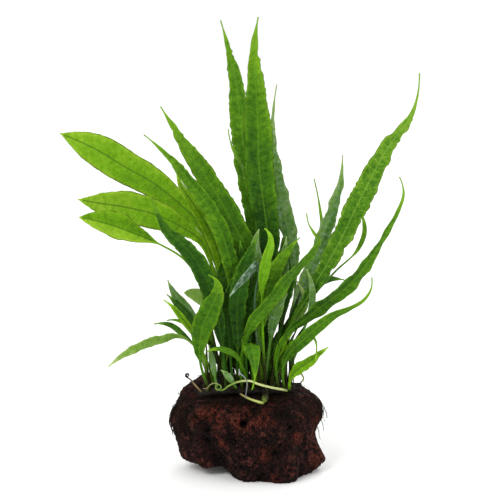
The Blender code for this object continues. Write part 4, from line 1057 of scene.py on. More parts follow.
FRONDS = (
    # the three broad blades that lean far left
    Frond(
        "frond_broad_left",
        ((-10.6, 5, 50.8), (-9.5, 10, 74), (-14, 11, 92.5), (-18.5, 13, 106.5), (-24, 14, 122),
         (-32.5, 16, 130), (-48, 19, 142.5), (-63.5, 22, 151), (-78, 24, 159.5), (-96.5, 26, 167.5)),
        17.5, (RIGHT, (0.45, 0.15, 1.0)), 0.15, 0.8, 1.1, 8,
        Tone.BRIGHT, Habit.BROAD, (0.25, 0.08, -0.25), rise=2.8, strap=4.6),
    Frond(
        "frond_left_middle",
        ((-13.2, -1, 49.8), (-14, 1, 76), (-17, 2, 96.5), (-20.5, 2, 107.5), (-25, 1, 117), (-33.5, -1, 123.5),
         (-47, -4, 130.5), (-62, -8, 135), (-74, -12, 137.5), (-84.5, -16, 140)),
        16.5, (RIGHT, (0.2, 0.2, 1.0)), 0.2, 0.75, 1.1, 8,
        Tone.BRIGHT, Habit.BROAD, (0.3, 0.0, -0.3), rise=5.0, strap=3.4),
    Frond(
        "frond_left_lower",
        ((-13, -9.3, 44.8), (-20.5, -9, 78), (-25.5, -9, 98.5), (-33, -11, 109.5), (-43, -14, 116.5),
         (-54, -17, 122), (-68.5, -22, 128.5), (-83, -28, 133)),
        13.0, (RIGHT, (0.2, 0.5, 1.0)), 0.62, 0.6, 0.9, 24,
        Tone.BRIGHT, Habit.BROAD, (0.15, -0.5, -0.2), rise=2.4),
    # upright blades left of the middle
    Frond(
        "frond_left_dark",
        ((-12, -13, 44.6), (-13.5, -16, 64.5), (-17.5, -20, 88), (-21, -21, 100), (-28, -23, 113),
         (-34, -25, 120), (-41, -27, 127), (-45, -29, 135), (-48, -31, 142.5)),
        9.5, (RIGHT, (0.6, 0.1, 0.6)), 0.15, 0.46, 1.3, 12,
        Tone.SHADED_DEEP, Habit.TOOTHED, (0.1, 0.1, -0.3)),
    Frond(
        "frond_left_sliver",
        ((-1.4, 0, 49.4), (-9, 5, 75), (-13, 6, 98), (-22, 7, 124), (-29, 7, 135), (-35, 8, 144),
         (-37, 9, 153)),
        7.5, ((0.9, 0.4, 0.0), (0.9, 0.3, 0.1)), 0.25, 0.6, 1.4, 8,
        Tone.BRIGHT, Habit.CALM, (0.3, 0.0, 0.1)),
    Frond(
        "frond_left_tall_front",
        ((-3.5, -9.2, 44.8), (-4.5, -9, 73), (-7, -10, 96), (-10.5, -11, 111.5), (-14.5, -12, 124),
         (-20, -13, 135.5), (-28.5, -16, 147.5), (-38, -20, 160), (-51.5, -24, 173)),
        8.5, (RIGHT, (0.7, -0.2, 0.6)), 0.1, 0.5, 1.2, 12,
        Tone.GREEN, Habit.TOOTHED, (0.4, -0.1, -0.25)),
    Frond(
        "frond_left_tall",
        ((1.5, -9.2, 44.8), (2, -5, 72), (3, -4, 92.5), (-0.5, -4, 110), (-9.5, -6, 128.5), (-21, -9, 149),
         (-33, -13, 168), (-43.5, -18, 186)),
        11.5, (RIGHT, (0.8, 0.2, 0.4)), 0.15, 0.5, 1.2, 12,
        Tone.GREEN, Habit.TOOTHED, (0.5, 0.0, -0.25)),
    Frond(
        "frond_left_inner",
        ((-1.2, -4, 48.8), (0, 1, 71), (-1, 2, 91), (-5, 2, 109), (-11, 1, 126), (-19, 1, 139), (-28, 1, 151)),
        10.0, (RIGHT, (0.8, 0.2, 0.4)), 0.25, 0.45, 1.2, 12,
        Tone.SHADED_DEEP, Habit.TOOTHED, (0.1, 0.0, -0.2)),
    # the tall blades in the middle
    Frond(
        "frond_top_left",
        ((2.4, 8, 50), (3.5, 13, 84.5), (3, 17, 119.5), (0.5, 20, 139.5), (-3.5, 24, 162.5), (-5.5, 27, 178.5),
         (-7.5, 31, 194), (-11, 36, 209.5), (-15, 42, 223.5)),
        12.0, (RIGHT, RIGHT), 0.2, 0.45, 1.3, 10,
        Tone.GREEN, Habit.RUFFLED, (0.3, -0.05, -0.35)),
    Frond(
        "frond_top_middle",
        ((11.5, 2, 47.2), (10.5, 1, 86.5), (9, 0, 119.5), (6.5, -1, 137.5), (4.5, -2, 155), (4, -3, 172.5),
         (3, -6, 193.5), (2, -9, 211.5), (4, -12, 229)),
        14.5, (RIGHT, RIGHT), 0.15, 0.5, 1.2, 12,
        Tone.GREEN, Habit.RUFFLED, (0.55, 0.15, -0.75)),
    Frond(
        "frond_top_right",
        ((13, 9, 47.4), (20, 10, 71.5), (23, 12, 97), (20, 13, 116), (16, 15, 132.5), (12.5, 17, 149),
         (11, 20, 167.5), (12, 22, 182.5), (13.5, 24, 192.5)),
        10.0, (RIGHT, (0.6, 0.8, 0.0)), 0.3, 0.38, 1.6, 10,
        Tone.GREY, Habit.TOOTHED, (0.6, 0.2, -0.1)),
    Frond(
        "frond_top_curl",
        ((4.2, 4, 49.8), (7.5, 7, 85), (5.5, 8, 116), (1, 9, 136.5), (-3.5, 11, 151.5), (-9, 13, 162),
         (-11, 15, 171)),
        5.0, (RIGHT, (0.5, 0.8, 0.0)), 0.25, 0.5, 1.3, 10,
        Tone.GREEN, Habit.TOOTHED, (0.4, 0.0, -0.3)),
    # right side, tall
    Frond(
        "frond_right_tall",
        ((14.4, -6, 46.6), (18, -7, 70), (30, -8, 92), (44, -9, 117), (55, -8, 140), (68, -5, 164),
         (80, 0, 180), (84, 6, 200)),
        11.0, (RIGHT, (0.9, -0.2, -0.5)), 0.08, 0.54, 2.1, 12,
        Tone.VEINED, Habit.RUFFLED, (0.5, 0.0, -0.25), rise=1.8, strap=2.2),
    Frond(
        "frond_right_inner",
        ((15.8, 2, 47), (18.5, 5, 70), (27.5, 7, 95.5), (36.5, 9, 117), (42, 11, 133), (45.5, 13, 145.5),
         (46.5, 15, 158)),
        8.0, (RIGHT, (0.8, 0.5, -0.2)), 0.2, 0.5, 1.2, 12,
        Tone.GREY, Habit.TOOTHED, (0.5, -0.3, -0.1)),
    Frond(
        "frond_right_thin",
        ((16, 8.5, 47.4), (23, 15, 79), (31.5, 17, 103.5), (36.5, 20, 118.5), (35.5, 22, 129.5),
         (32.5, 25, 144.5)),
        2.4, (RIGHT, (0.8, 0.5, 0.0)), 0.5, 0.35, 1.6, 12,
        Tone.GREEN, Habit.CALM, (0.2, 0.0, -0.2)),
    # front blades
    Frond(
        "frond_front_diagonal",
        ((-4, -12.8, 44.9), (-3.5, -16, 65.5), (1.5, -20.5, 79.5), (9, -22, 89), (15, -22.5, 97.5),
         (21.5, -22, 105), (27.5, -20.5, 111.5), (32, -19, 116), (34, -17.5, 119), (31.5, -15, 123),
         (29, -12, 127), (28, -9, 132)),
        8.0, ((1.0, 0.0, -0.3), (0.6, 0.7, 0.2)), 0.15, 0.42, 1.6, 12,
        Tone.GREEN, Habit.TOOTHED, (0.3, 0.05, -0.1)),
    Frond(
        "frond_front_small",
        ((20, -9.2, 46), (23.5, -10, 65.5), (29, -11, 79.5), (31, -12, 89), (30.5, -12, 96.5),
         (28, -11, 104.5)),
        3.4, (RIGHT, RIGHT), 0.5, 0.5, 1.0, 12,
        Tone.GREY, Habit.CALM, (0.2, 0.0, -0.3)),
    Frond(
        "frond_pale_thin",
        ((14.9, -3.4, 46.8), (17, -2, 64), (24, -1.5, 76), (28, -1.5, 85), (26, -1.5, 92), (23, -1.5, 97)),
        2.6, (RIGHT, RIGHT), 0.5, 0.5, 1.1, 8,
        Tone.PALE, Habit.CALM, (0.2, 0.0, -0.1)),
    Frond(
        "frond_right_long",
        ((14, -12.6, 45.2), (14.5, -14, 64), (19.5, -15.5, 74), (26, -17, 79.5), (33.5, -19, 86),
         (42, -21.5, 93), (49, -24, 99.5), (56, -26, 108.5), (66.5, -28, 126), (71.5, -28, 135.5),
         (74.5, -27, 145), (72.5, -25, 152.5)),
        8.2, (RIGHT, (0.9, 0.4, -0.2)), 0.15, 0.36, 3.0, 14,
        Tone.GREEN, Habit.BROAD, (0.55, 0.15, -0.3), strap=3.4),
    Frond(
        "frond_right_hooked",
        ((17, -12, 45.4), (16.5, -14, 55), (20, -18, 64), (25.5, -21, 70), (33.5, -23, 78), (41.5, -24.5, 84),
         (49, -25.5, 87.5), (56, -26, 92), (59, -26, 96.5), (59.5, -26, 103)),
        7.0, (RIGHT, (0.8, 0.2, -0.5)), 0.1, 0.3, 2.4, 10,
        Tone.GREEN, Habit.CALM, (0.2, 0.0, -0.2), strap=2.6),
    Frond(
        "frond_right_wiry",
        ((15.2, -0.6, 47), (20, 0, 71), (30, 2, 86), (43, 6, 100), (55, 12, 111), (58, 15, 119), (55, 18, 130)),
        2.6, (RIGHT, RIGHT), 0.7, 0.5, 1.1, 8,
        Tone.GREEN, Habit.CALM, (0.0, 0.0, -0.3)),
    Frond(
        "frond_right_level",
        ((16.2, 4.8, 47.2), (20, 8, 70), (24, 10, 83), (31, 12, 92), (38, 15, 94), (48, 20, 93)),
        6.0, (RIGHT, (0.2, 0.3, -1.0)), 0.35, 0.5, 1.1, 12,
        Tone.SHADED_DEEP, Habit.CALM, (0.1, 0.0, -0.2)),
    Frond(
        "frond_right_low",
        ((19.6, -12.6, 44.9), (21, -14, 51), (25, -15, 55.5), (29.5, -15.5, 58.5), (34, -15, 62),
         (39, -14, 65.5)),
        6.0, (RIGHT, (0.7, 0.2, -0.7)), 0.05, 0.45, 1.1, 12,
        Tone.BRIGHT, Habit.TOOTHED, (0.3, 0.2, -0.1)),
    Frond(
        "frond_right_hanging",
        ((10.6, -13, 45.2), (13, -10, 56.5), (20, -12, 67), (26.5, -15, 71.5), (30, -17, 73),
         (32.5, -18.5, 70), (33, -19, 65), (32.5, -19, 59)),
        3.8, ((1.0, 0.2, 0.0), (0.0, 1.0, 0.0)), 0.55, 0.6, 1.0, 10,
        Tone.BRIGHT, Habit.CALM, (0.2, 0.0, -0.1)),
    Frond(
        "frond_right_short",
        ((13.8, -9.2, 45.8), (16, -8.4, 56), (22, -8, 63), (29, -7, 68), (36, -6, 76)),
        4.5, (RIGHT, (0.8, 0.2, -0.6)), 0.3, 0.5, 1.1, 10,
        Tone.GREEN, Habit.CALM, (0.2, 0.1, -0.2)),
    Frond(
        "frond_right_yellow",
        ((10.8, -9.2, 45.2), (13, -8.6, 57), (16, -8.6, 66), (20, -9, 72), (24, -9, 76)),
        4.5, (RIGHT, (0.8, 0.2, -0.6)), 0.2, 0.5, 1.1, 10,
        Tone.YELLOW, Habit.CALM, (0.2, 0.0, -0.2)),
    # left side, small
    Frond(
        "frond_left_front",
        ((-20.5, -14, 44.6), (-24, -17, 55), (-25, -21, 68), (-23, -25, 79), (-19, -29, 89), (-16, -31, 96),
         (-16, -33, 102), (-20, -36, 106)),
        11.5, (RIGHT, RIGHT), 0.2, 0.5, 1.5, 10,
        Tone.GREEN, Habit.BROAD, (0.6, 0.1, -0.1)),
    Frond(
        "frond_left_fine_dark",
        ((-17.2, -3, 48), (-24, -2, 60), (-28, 0, 72), (-33, 2, 80), (-37, 4, 84), (-42, 7, 88)),
        5.0, (RIGHT, (0.7, 0.0, 0.7)), 0.35, 0.5, 1.1, 8,
        Tone.SHADED_DEEP, Habit.CALM, (0.0, 0.0, -0.2)),
    Frond(
        "frond_left_fine_light",
        ((-17.5, -9.8, 44.4), (-24, -10.5, 63), (-29, -11, 73), (-34, -12, 80), (-39, -12, 86), (-43, -12, 89)),
        3.6, (RIGHT, (0.7, 0.0, 0.7)), 0.4, 0.5, 1.1, 8,
        Tone.BRIGHT, Habit.CALM, (0.2, 0.0, 0.0)),
    Frond(
        "frond_left_grey",
        ((-15.2, 3, 50.6), (-26, 7, 72), (-32, 11, 80), (-38, 15, 86), (-42, 20, 93)),
        5.0, (RIGHT, (0.8, 0.3, 0.4)), 0.4, 0.5, 1.1, 8,
        Tone.GREY, Habit.CALM, (0.1, 0.0, -0.1)),
    Frond(
        "frond_left_pale",
        ((-13, 9.5, 52), (-13, 14, 68), (-18, 19, 79), (-25, 25, 83), (-34, 32, 84)),
        8.0, (RIGHT, (0.2, 0.3, 1.0)), 0.3, 0.6, 0.7, 8,
        Tone.PALE, Habit.CALM, (0.1, 0.0, -0.1)),
    Frond(
        "frond_left_arching",
        ((-23, -10.4, 43.8), (-23, -13, 58), (-28, -16, 67), (-34, -20, 72), (-44, -26, 72), (-58, -33, 68),
         (-69, -38, 61)),
        4.4, (RIGHT, (0.1, 0.5, 1.0)), 0.35, 0.5, 0.9, 8,
        Tone.PALE, Habit.TOOTHED, (0.1, 0.0, -0.2)),
    Frond(
        "frond_left_wiry",
        ((-20, -9.8, 44.2), (-23, -8, 55), (-27, -8, 64), (-33, -8, 70), (-40, -6, 75), (-48, -4, 75)),
        3.0, (RIGHT, (0.2, 0.3, 1.0)), 0.45, 0.5, 1.1, 8,
        Tone.SHADED_DEEP, Habit.CALM, (-0.1, 0.0, -0.3)),
    Frond(
        "frond_left_upright",
        ((-16.5, -13.2, 44.4), (-18, -13, 53), (-19, -12.5, 59), (-20.5, -12.5, 66)),
        3.6, (RIGHT, RIGHT), 0.15, 0.5, 1.1, 8,
        Tone.GREY, Habit.CALM, (0.1, 0.0, -0.1)),
    # front middle
    Frond(
        "frond_front_drooping",
        ((1.6, -13.2, 45), (1, -20, 60), (0, -25, 69.5), (0.5, -29, 70), (2, -32, 64.5), (2.5, -33.5, 56),
         (1, -34, 48.5)),
        8.8, (RIGHT, RIGHT), 0.25, 0.36, 2.4, 10,
        Tone.GREEN, Habit.BROAD, (0.5, 0.1, -0.1)),
    Frond(
        "frond_front_bright",
        ((7.8, -13.2, 45.2), (6.5, -16, 69.5), (6, -18, 82.5), (6, -19, 91.5), (6, -22, 99), (7, -26, 106.5),
         (8.5, -30, 115), (10, -32, 120.5), (9.5, -33, 125.5), (7, -33, 128.5)),
        5.6, (RIGHT, (0.9, 0.0, 0.4)), 0.5, 0.5, 1.0, 8,
        Tone.YELLOW, Habit.CALM, (0.2, 0.1, 0.0)),
    Frond(
        "frond_front_green",
        ((4.2, -9.2, 45), (4, -11.5, 66.5), (7, -15.5, 89), (11, -16.5, 101.5), (16.5, -17, 111.5),
         (24.5, -15.5, 121)),
        9.0, (RIGHT, (0.8, 0.1, -0.5)), 0.25, 0.5, 1.2, 12,
        Tone.GREEN, Habit.TOOTHED, (0.3, 0.0, -0.2)),
    Frond(
        "frond_front_mottled",
        ((7.6, -9.1, 45), (11, -11, 74), (14, -12.5, 91), (16, -12.5, 104), (18, -12, 121)),
        8.0, (RIGHT, RIGHT), 0.25, 0.5, 1.1, 12,
        Tone.GREY, Habit.BROAD, (0.1, 0.0, -0.2)),
    Frond(
        "frond_front_bent",
        ((4.8, -13, 45), (4, -16, 64.5), (2.5, -18.4, 81), (3, -19.4, 96.5), (5, -21, 104.5),
         (4.5, -24, 109), (0.5, -26.5, 106), (-4.5, -28, 100.5), (-10, -28.5, 94)),
        4.8, (RIGHT, (0.5, 0.6, -0.7)), 0.62, 0.5, 1.0, 10,
        Tone.GLOSSY, Habit.CALM, (0.0, 0.2, -0.6)),
    # dark heart of the plant, its darker blades painted shade
    Frond(
        "frond_centre_a",
        ((-8.5, -13, 44.9), (-10, -12.5, 64), (-11, -12.5, 81), (-10, -13, 92), (-7, -13.5, 103)),
        8.5, (RIGHT, RIGHT), 0.2, 0.5, 1.1, 12,
        Tone.SHADED_DEEP, Habit.TOOTHED, (0.0, 0.0, -0.3)),
    Frond(
        "frond_centre_b",
        ((-6.5, -9.2, 45.1), (-6, -15, 66), (-6, -16, 89), (-2, -16, 108), (4, -15, 122)),
        9.0, (RIGHT, RIGHT), 0.2, 0.5, 1.1, 12,
        Tone.SHADED_DEEP, Habit.TOOTHED, (0.0, 0.0, -0.3)),
    Frond(
        "frond_centre_c",
        ((-1.2, -13, 45), (-2, -13.2, 64), (-1, -12.5, 80), (3, -12.5, 95), (4, -13, 110)),
        8.0, (RIGHT, RIGHT), 0.2, 0.5, 1.1, 12,
        Tone.SHADED_DEEP, Habit.TOOTHED, (0.1, 0.0, -0.2)),
    Frond(
        "frond_centre_d",
        ((-10, -9.3, 45.1), (-14, -8, 68), (-15, -7, 88), (-14, -7, 102), (-11, -7.5, 113)),
        8.5, (RIGHT, RIGHT), 0.2, 0.5, 1.1, 12,
        Tone.SHADED_DEEP, Habit.TOOTHED, (0.0, 0.0, -0.3)),
    # back of the plant
    Frond(
        "frond_back_a",
        ((-10.6, 12.4, 51.8), (-14, 32, 80), (-17, 50, 92), (-20, 66, 90)),
        11.0, (RIGHT, RIGHT), 0.25, 0.5, 1.1, 12,
        Tone.GREEN, Habit.BROAD, (0.3, 0.0, -0.3)),
    Frond(
        "frond_back_b",
        ((2.4, 12.4, 50.2), (-3, 30, 82), (-6, 48, 104), (-8, 64, 114)),
        12.0, (RIGHT, RIGHT), 0.25, 0.5, 1.1, 12,
        Tone.GREEN, Habit.TOOTHED, (0.3, 0.0, -0.3)),
    Frond(
        "frond_back_c",
        ((5.8, 11.8, 50.2), (7, 28, 72), (9, 46, 84), (10, 64, 80)),
        10.0, (RIGHT, RIGHT), 0.25, 0.5, 1.1, 12,
        Tone.BRIGHT, Habit.BROAD, (0.3, 0.0, -0.3)),
    Frond(
        "frond_back_d",
        ((12.5, 12.6, 47.4), (17, 28, 80), (20, 42, 104), (22, 54, 122)),
        11.0, (RIGHT, RIGHT), 0.25, 0.5, 1.1, 12,
        Tone.SHADED_DEEP, Habit.TOOTHED, (0.3, 0.0, -0.3)),
    # small fronds with no solid of their own, among the stalks
    Frond(
        "frond_thin_tip",
        ((-20.5, -9, 46), (-22.0, -9, 54.6), (-25.0, -9, 63.9), (-28.9, -9, 72.0),
         (-32.9, -9, 76.6), (-36.9, -9, 78.1), (-41.4, -9, 77.9)),
        1.8, (RIGHT, (0.2, 0.3, 1.0)), 0.5, 0.6, 1.1, 6,
        Tone.SHADED_DEEP, Habit.CALM, (-0.2, 0, -0.2), solid=False),
    Frond(
        "frond_low_arch",
        ((-1, -13, 45.5), (-2.0, -14, 49.7), (-4.0, -18, 56.7), (-7.4, -20, 62.8),
         (-12.4, -21, 65.5), (-17.3, -21, 66.0), (-21.3, -21, 64.5)),
        3.0, (RIGHT, (0.2, 0.5, 1.0)), 0.3, 0.55, 1.0, 8,
        Tone.GREEN, Habit.CALM, (0.2, 0, -0.2), solid=False),
    Frond(
        "frond_low_light",
        ((-7.0, -14, 44.5), (-9.4, -17, 49.3), (-11.9, -17.5, 52.5),
         (-14.4, -18, 54.7)),
        3.2, (RIGHT, (0.6, 0.3, 0.8)), 0.15, 0.5, 1.0, 8,
        Tone.GREY, Habit.CALM, (0.3, 0, 0.1), solid=False),
    Frond(
        "frond_heart_pale",
        ((7, -7.5, 45.5), (6.5, -7, 48.0), (5.0, -9, 67.9), (3.0, -9, 88.3),
         (3.5, -9, 106.0), (2.5, -9, 116.1), (4.5, -9, 124.1)),
        6.5, (RIGHT, RIGHT), 0.4, 0.6, 0.9, 10,
        Tone.GREY, Habit.BROAD, (0.2, 0, -0.2), solid=False),
    Frond(
        "frond_heart_dark",
        ((3.5, -4, 48.3), (0.0, -6, 72.4), (-2.5, -8, 93.2),
         (-3.5, -8, 107.4), (-5.0, -8, 118.4)),
        4.5, (RIGHT, RIGHT), 0.4, 0.6, 0.9, 10,
        Tone.SHADED_DEEP, Habit.CALM, (-0.1, 0, -0.3), solid=False),
)


# The creeping stem and the young stalks.


@dataclass(frozen=True)
class Stem:
    """A length of the creeping stem.

    Attributes:
        node: The solid that it replaces.
        points: Its centre line.
        radius: Its radius.
        fresh: How green its far end is, from 0 to 1.
    """

    node: str
    points: tuple
    radius: float
    fresh: float = 0.0

    def surface(self) -> tuple[Array, Array]:
        """Rings round the centre line.

        The radius swells and narrows with a cosine, ends in half ellipses and carries shingled scales, each of
        which rises along the stem and falls away to its sides, every second row set off by half a scale.

        Returns:
            The rings' points, and the share of the way along at each ring.
        """
        length = np.linalg.norm(np.diff(np.array(self.points, float), axis=0), axis=1).sum()
        rows = int(length / 0.28)
        path, direction = smooth_path(self.points, rows)
        reach = np.linspace(0.0, length, rows)[:, None]
        angle = 2.0 * math.pi * np.arange(STEM_SIDES)[None, :] / STEM_SIDES
        row = np.floor(reach / SCALE_STEP)
        rise = reach / SCALE_STEP - row
        around = np.abs((angle / (2.0 * math.pi) * SCALES_ROUND + 0.5 * (row % 2.0)) % 1.0 - 0.5) * 2.0
        scales = SCALE_HEIGHT * rise * ease(1.0, 0.15, around)
        knots = 1.0 + 0.09 * np.cos(reach * 2.0 * math.pi / 5.2)
        from_end = np.minimum(reach, length - reach) / self.radius
        dome = np.sqrt(np.clip(1.0 - (1.0 - np.clip(from_end, 0.02, 1.0)) ** 2, 0.0, 1.0))
        radii = (self.radius * 0.92 * knots + scales) * dome
        loops = tube_loops(path, direction, radii, STEM_SIDES, np.array(UP))
        loops += (loops - path[:, None]) * (0.10 * rough_noise(loops, 1.3, 2, 71))[..., None]
        return loops, reach[:, 0] / length

    def build(self, material: bpy.types.Material) -> bpy.types.Object:
        """Builds the length of stem and dresses it.

        Args:
            material: The stem's material.

        Returns:
            The stem, in place of its solid.
        """
        loops, along = self.surface()
        quads, fans = loop_faces(*loops.shape[:2])
        kept = np.repeat(self.fresh * along, STEM_SIDES).reshape(len(along), STEM_SIDES)
        marks = {"along": close_ends(kept[..., None])[:, 0]}
        piece = make_piece(self.node + "_scaly", close_ends(loops), quads, fans, marks)
        return dress(piece, material, (self.node,))


@dataclass(frozen=True)
class CreepingStem:
    """The main stem, its forks and the stubs of old stalks on them.

    Attributes:
        stems: The lengths of stem.
        stubs: How many stubs.
        finish: The finish of both.
    """

    stems: tuple[Stem, ...] = (
        Stem("rhizome_main", ((-26, -13, 41.5), (-18, -12, 42.2), (-9, -11, 42.6), (0, -11, 42.7), (9, -11, 42.7),
                              (18, -10, 43.2), (26, -7, 44)), 2.0),
        Stem("rhizome_left", ((-14, -8.2, 44), (-15, -3, 46.8), (-13, 4, 48.2), (-11, 11, 49.8)), 1.8),
        Stem("rhizome_mid", ((0, -8, 44.3), (0, -2, 46.8), (3, 5, 47.2), (4, 13, 47.8)), 1.8),
        Stem("rhizome_right", ((12, -8.0, 43.9), (13, -2, 44.6), (14, 5, 44.8), (14, 12, 45.2)), 1.8),
        Stem("rhizome_spur", ((8, -14, 42.3), (7.5, -18, 41.2), (7, -23, 39.9)), 1.6, 1.0),
    )
    stubs: int = 34
    # Painted shade: the stems run near black, their own dark brown darkened further where the fronds and roots shade
    # them; the spur's free end turns green.
    finish: StalkFinish = StalkFinish(
        "rhizome", ((0.0, srgb(20, 15, 9)), (0.6, srgb(36, 38, 14)), (1.0, srgb(84, 98, 34))), srgb(9, 6, 5), 0.8, 0.62,
        0.0003)

    def stub_loops(self) -> Array:
        """Short rings that stand on the stems at random places and lean up and outwards, a little narrower and
        rounded at the top: each stub is its foot plus a share of its lean.

        Returns:
            The rings' points, one set for each stub.
        """
        rng = np.random.default_rng(SEED + 20)
        paths = [smooth_path(stem.points, 40)[0] for stem in self.stems]
        picked = rng.integers(0, len(paths), self.stubs)
        picked[: self.stubs // 2] = 0
        feet = np.stack([paths[number][place] for number, place in zip(picked, rng.integers(2, 38, self.stubs))])
        lean = unit(rng.normal(size=(self.stubs, 3)) * (0.8, 0.8, 0.3) + (0.0, -0.3, 0.9))
        tall = rng.uniform(2.6, 4.8, self.stubs)
        share = np.linspace(0.0, 1.0, 6)
        path = feet[:, None] + lean[:, None] * (tall[:, None] * share)[..., None]
        radii = rng.uniform(0.45, 0.75, self.stubs)[:, None] * np.sqrt(1.0 - 0.92 * share**6)
        return tube_loops(path, np.broadcast_to(lean[:, None], path.shape), radii, 10, np.array(RIGHT))

    def build(self) -> None:
        """Builds the stems, then all the stubs as one piece."""
        material = self.finish.material("stem_scaly")
        for stem in self.stems:
            stem.build(material)
        loops = self.stub_loops()
        shade = np.random.default_rng(SEED + 21).uniform(0.0, 0.9, len(loops))
        piece = make_batch("rhizome_stubs", loops, {"along": shade})
        dress(piece, material)


def make_batch(name: str, loops: Array, shades: dict[str, Array]) -> bpy.types.Object:
    """One mesh of many closed tubes.

    Args:
        name: Name of the piece.
        loops: Tubes, rings, points and their three numbers.
        shades: One number for each tube, or what is kept at each point, by the name of the attribute that keeps it.

    Returns:
        The piece.
    """
    count, rows, sides = loops.shape[:3]
    size = rows * sides + 2
    quads, fans = loop_faces(rows, sides)
    first = (size * np.arange(count))[:, None, None]
    def closed(kept: Array) -> Array:
        """What is kept at the points of each tube, and then at the middles of its ends."""
        ends = np.stack((kept[:, 0].mean(axis=1), kept[:, -1].mean(axis=1)), axis=1)
        return np.concatenate((kept.reshape(count, rows * sides, *kept.shape[3:]), ends), axis=1).reshape(
            count * size, *kept.shape[3:])

    marks = {mark: np.repeat(values, size) if values.ndim == 1 else closed(values) for mark, values in shades.items()}
    return make_piece(name, closed(loops), (quads + first).reshape(-1, 4), (fans + first).reshape(-1, 3), marks)


@dataclass(frozen=True)
class Thicket:
    """The small fronds that crowd between the stalks, one mesh.

    Attributes:
        count: How many.
        tall: Least and greatest length.
        wide: Least and greatest width.
        lean: How far a tip may stray to each side, as a share of the length.
        span: Least and greatest place of their feet from left to right.
        depth: Least and greatest place of their feet from front to back.
        tone: Their finish.
    """

    count: int
    tall: tuple[float, float]
    wide: tuple[float, float]
    lean: Point
    span: tuple[float, float]
    depth: tuple[float, float]
    tone: Tone

    def build(self, name: str, stone: LavaStone, seed: int) -> bpy.types.Object:
        """Builds the fronds and dresses them.

        Each midrib rises from its foot and leans further the higher it gets, by the square of the share of its
        length. Half the width is a sine of the way along the upper two thirds, or the stalk's where that is larger,
        and each ring is a flat lens of eight points with a lifted margin.

        Args:
            name: Name of the piece.
            stone: What they stand on.
            seed: Picks another set.

        Returns:
            The piece.
        """
        rng = np.random.default_rng(seed)
        feet = np.stack((rng.uniform(*self.span, self.count), rng.uniform(*self.depth, self.count)), axis=-1)
        ground = stone.skin(stone.aim(np.column_stack((feet, np.full(self.count, 41.0)))))
        tall = rng.uniform(*self.tall, self.count)
        lean = rng.uniform(-1.0, 1.0, (self.count, 3)) * self.lean + (0.006, 0.0, 0.0) * ground
        share = np.linspace(0.0, 1.0, 12)
        rise = np.array(UP) * tall[:, None, None] * share[:, None]
        path = ground[:, None] + rise + (lean * tall[:, None])[:, None] * (share**2)[:, None]
        path += 0.35 * smooth_noise(path, 9.0, seed)[..., None] * (tall[:, None] * 0.1 * share)[..., None]
        direction = unit(np.gradient(path, axis=1))
        turn = rng.uniform(-0.9, 0.9, self.count)
        across = np.stack((np.cos(turn), np.sin(turn), np.zeros(self.count)), axis=-1)
        across = square_to(np.broadcast_to(across[:, None], path.shape), direction)
        upper = np.cross(across, direction)
        wide = rng.uniform(*self.wide, self.count)[:, None]
        blade = np.clip((share - 0.3) / 0.7, 0.0, 1.0)
        half = 0.5 * np.maximum(wide * np.sin(math.pi * blade**0.8) ** 1.2, 0.8 - 0.5 * share)
        side = np.array((-1.0, -0.55, 0.0, 0.55, 1.0, 0.55, 0.0, -0.55))
        face = np.array((0.0, 1.0, 1.0, 1.0, 0.0, -1.0, -1.0, -1.0))
        lift = half[..., None] * 0.3 * side**2 + 0.2 * face
        loops = path[:, :, None] + across[:, :, None] * (half[..., None] * side)[..., None]
        loops = loops + upper[:, :, None] * lift[..., None]
        leafy = np.clip(half / 0.9 - 0.5, 0.0, 1.0)
        light = 0.5 + 0.25 * share + rng.uniform(-0.35, 0.25, (self.count, 1)) - 0.35 * (1.0 - leafy)
        lamina = np.stack(np.broadcast_arrays(half[..., None] * side, (tall[:, None] * share)[..., None],
                                              leafy[..., None]), axis=-1)
        light = np.broadcast_to(light[..., None], lamina.shape[:3])
        piece = make_batch(name, loops, {"light": light, "lamina": lamina})
        return dress(piece, self.tone.material())


@dataclass(frozen=True)
class YoungStalk:
    """A young frond that has no blade yet.

    Attributes:
        name: The solid that it replaces, or its own name where it has none.
        points: Its centre line.
        foot: Radius at its foot.
        end: Radius at its end.
        colours: Colours from its foot to its end.
        facing: Direction square to the plane that it curls in.
        solid: Whether a solid stands behind it.
    """

    name: str
    points: tuple
    foot: float
    end: float
    colours: tuple[tuple[float, Colour], ...]
    facing: Point = BACK
    solid: bool = True

    def build(self) -> bpy.types.Object:
        """Builds the stalk, a tube whose radius runs evenly from foot to end with a faint ripple, rounded off at its
        end and closed flat at its foot.

        Returns:
            The stalk, in place of its solid where it has one.
        """
        length = np.linalg.norm(np.diff(np.array(self.points, float), axis=0), axis=1).sum()
        rows = int(np.clip(length / 0.35, 24, 160))
        path, direction = smooth_path(self.points, rows)
        along = np.linspace(0.0, 1.0, rows)
        radii = (self.foot + (self.end - self.foot) * along) * (1.0 + 0.05 * np.sin(along * length * 2.1))
        radii *= np.sqrt(np.clip(1.0 - np.clip(1.0 - (1.0 - along) * length / self.end, 0.0, 0.97) ** 2, 0.0, 1.0))
        loops = tube_loops(path, direction, radii, 16, np.array(self.facing))
        quads, fans = loop_faces(rows, 16)
        marks = {"along": close_ends(np.repeat(along, 16).reshape(rows, 16, 1))[:, 0]}
        piece = make_piece(self.name + "_stalk", close_ends(loops), quads, fans, marks)
        finish = StalkFinish("young", self.colours, srgb(92, 70, 34), 0.22, 0.38, 0.00004)
        return dress(piece, finish.material(self.name), (self.name,) if self.solid else ())


def curl(middle: Point, start: float, turns: float, wide: float, narrow: float) -> tuple:
    """Points of a flat spiral seen from the front: the angle runs evenly from start, in turns, while the radius
    runs evenly from wide to narrow."""
    share = np.linspace(0.0, 1.0, int(8 * abs(turns)) + 2)
    angle = 2.0 * math.pi * (start + turns * share)
    radius = wide + (narrow - wide) * share
    spots = np.stack((middle[0] + radius * np.cos(angle), middle[1] - 0.5 * share, middle[2] + radius * np.sin(angle)), -1)
    return tuple(tuple(float(value) for value in spot) for spot in spots)


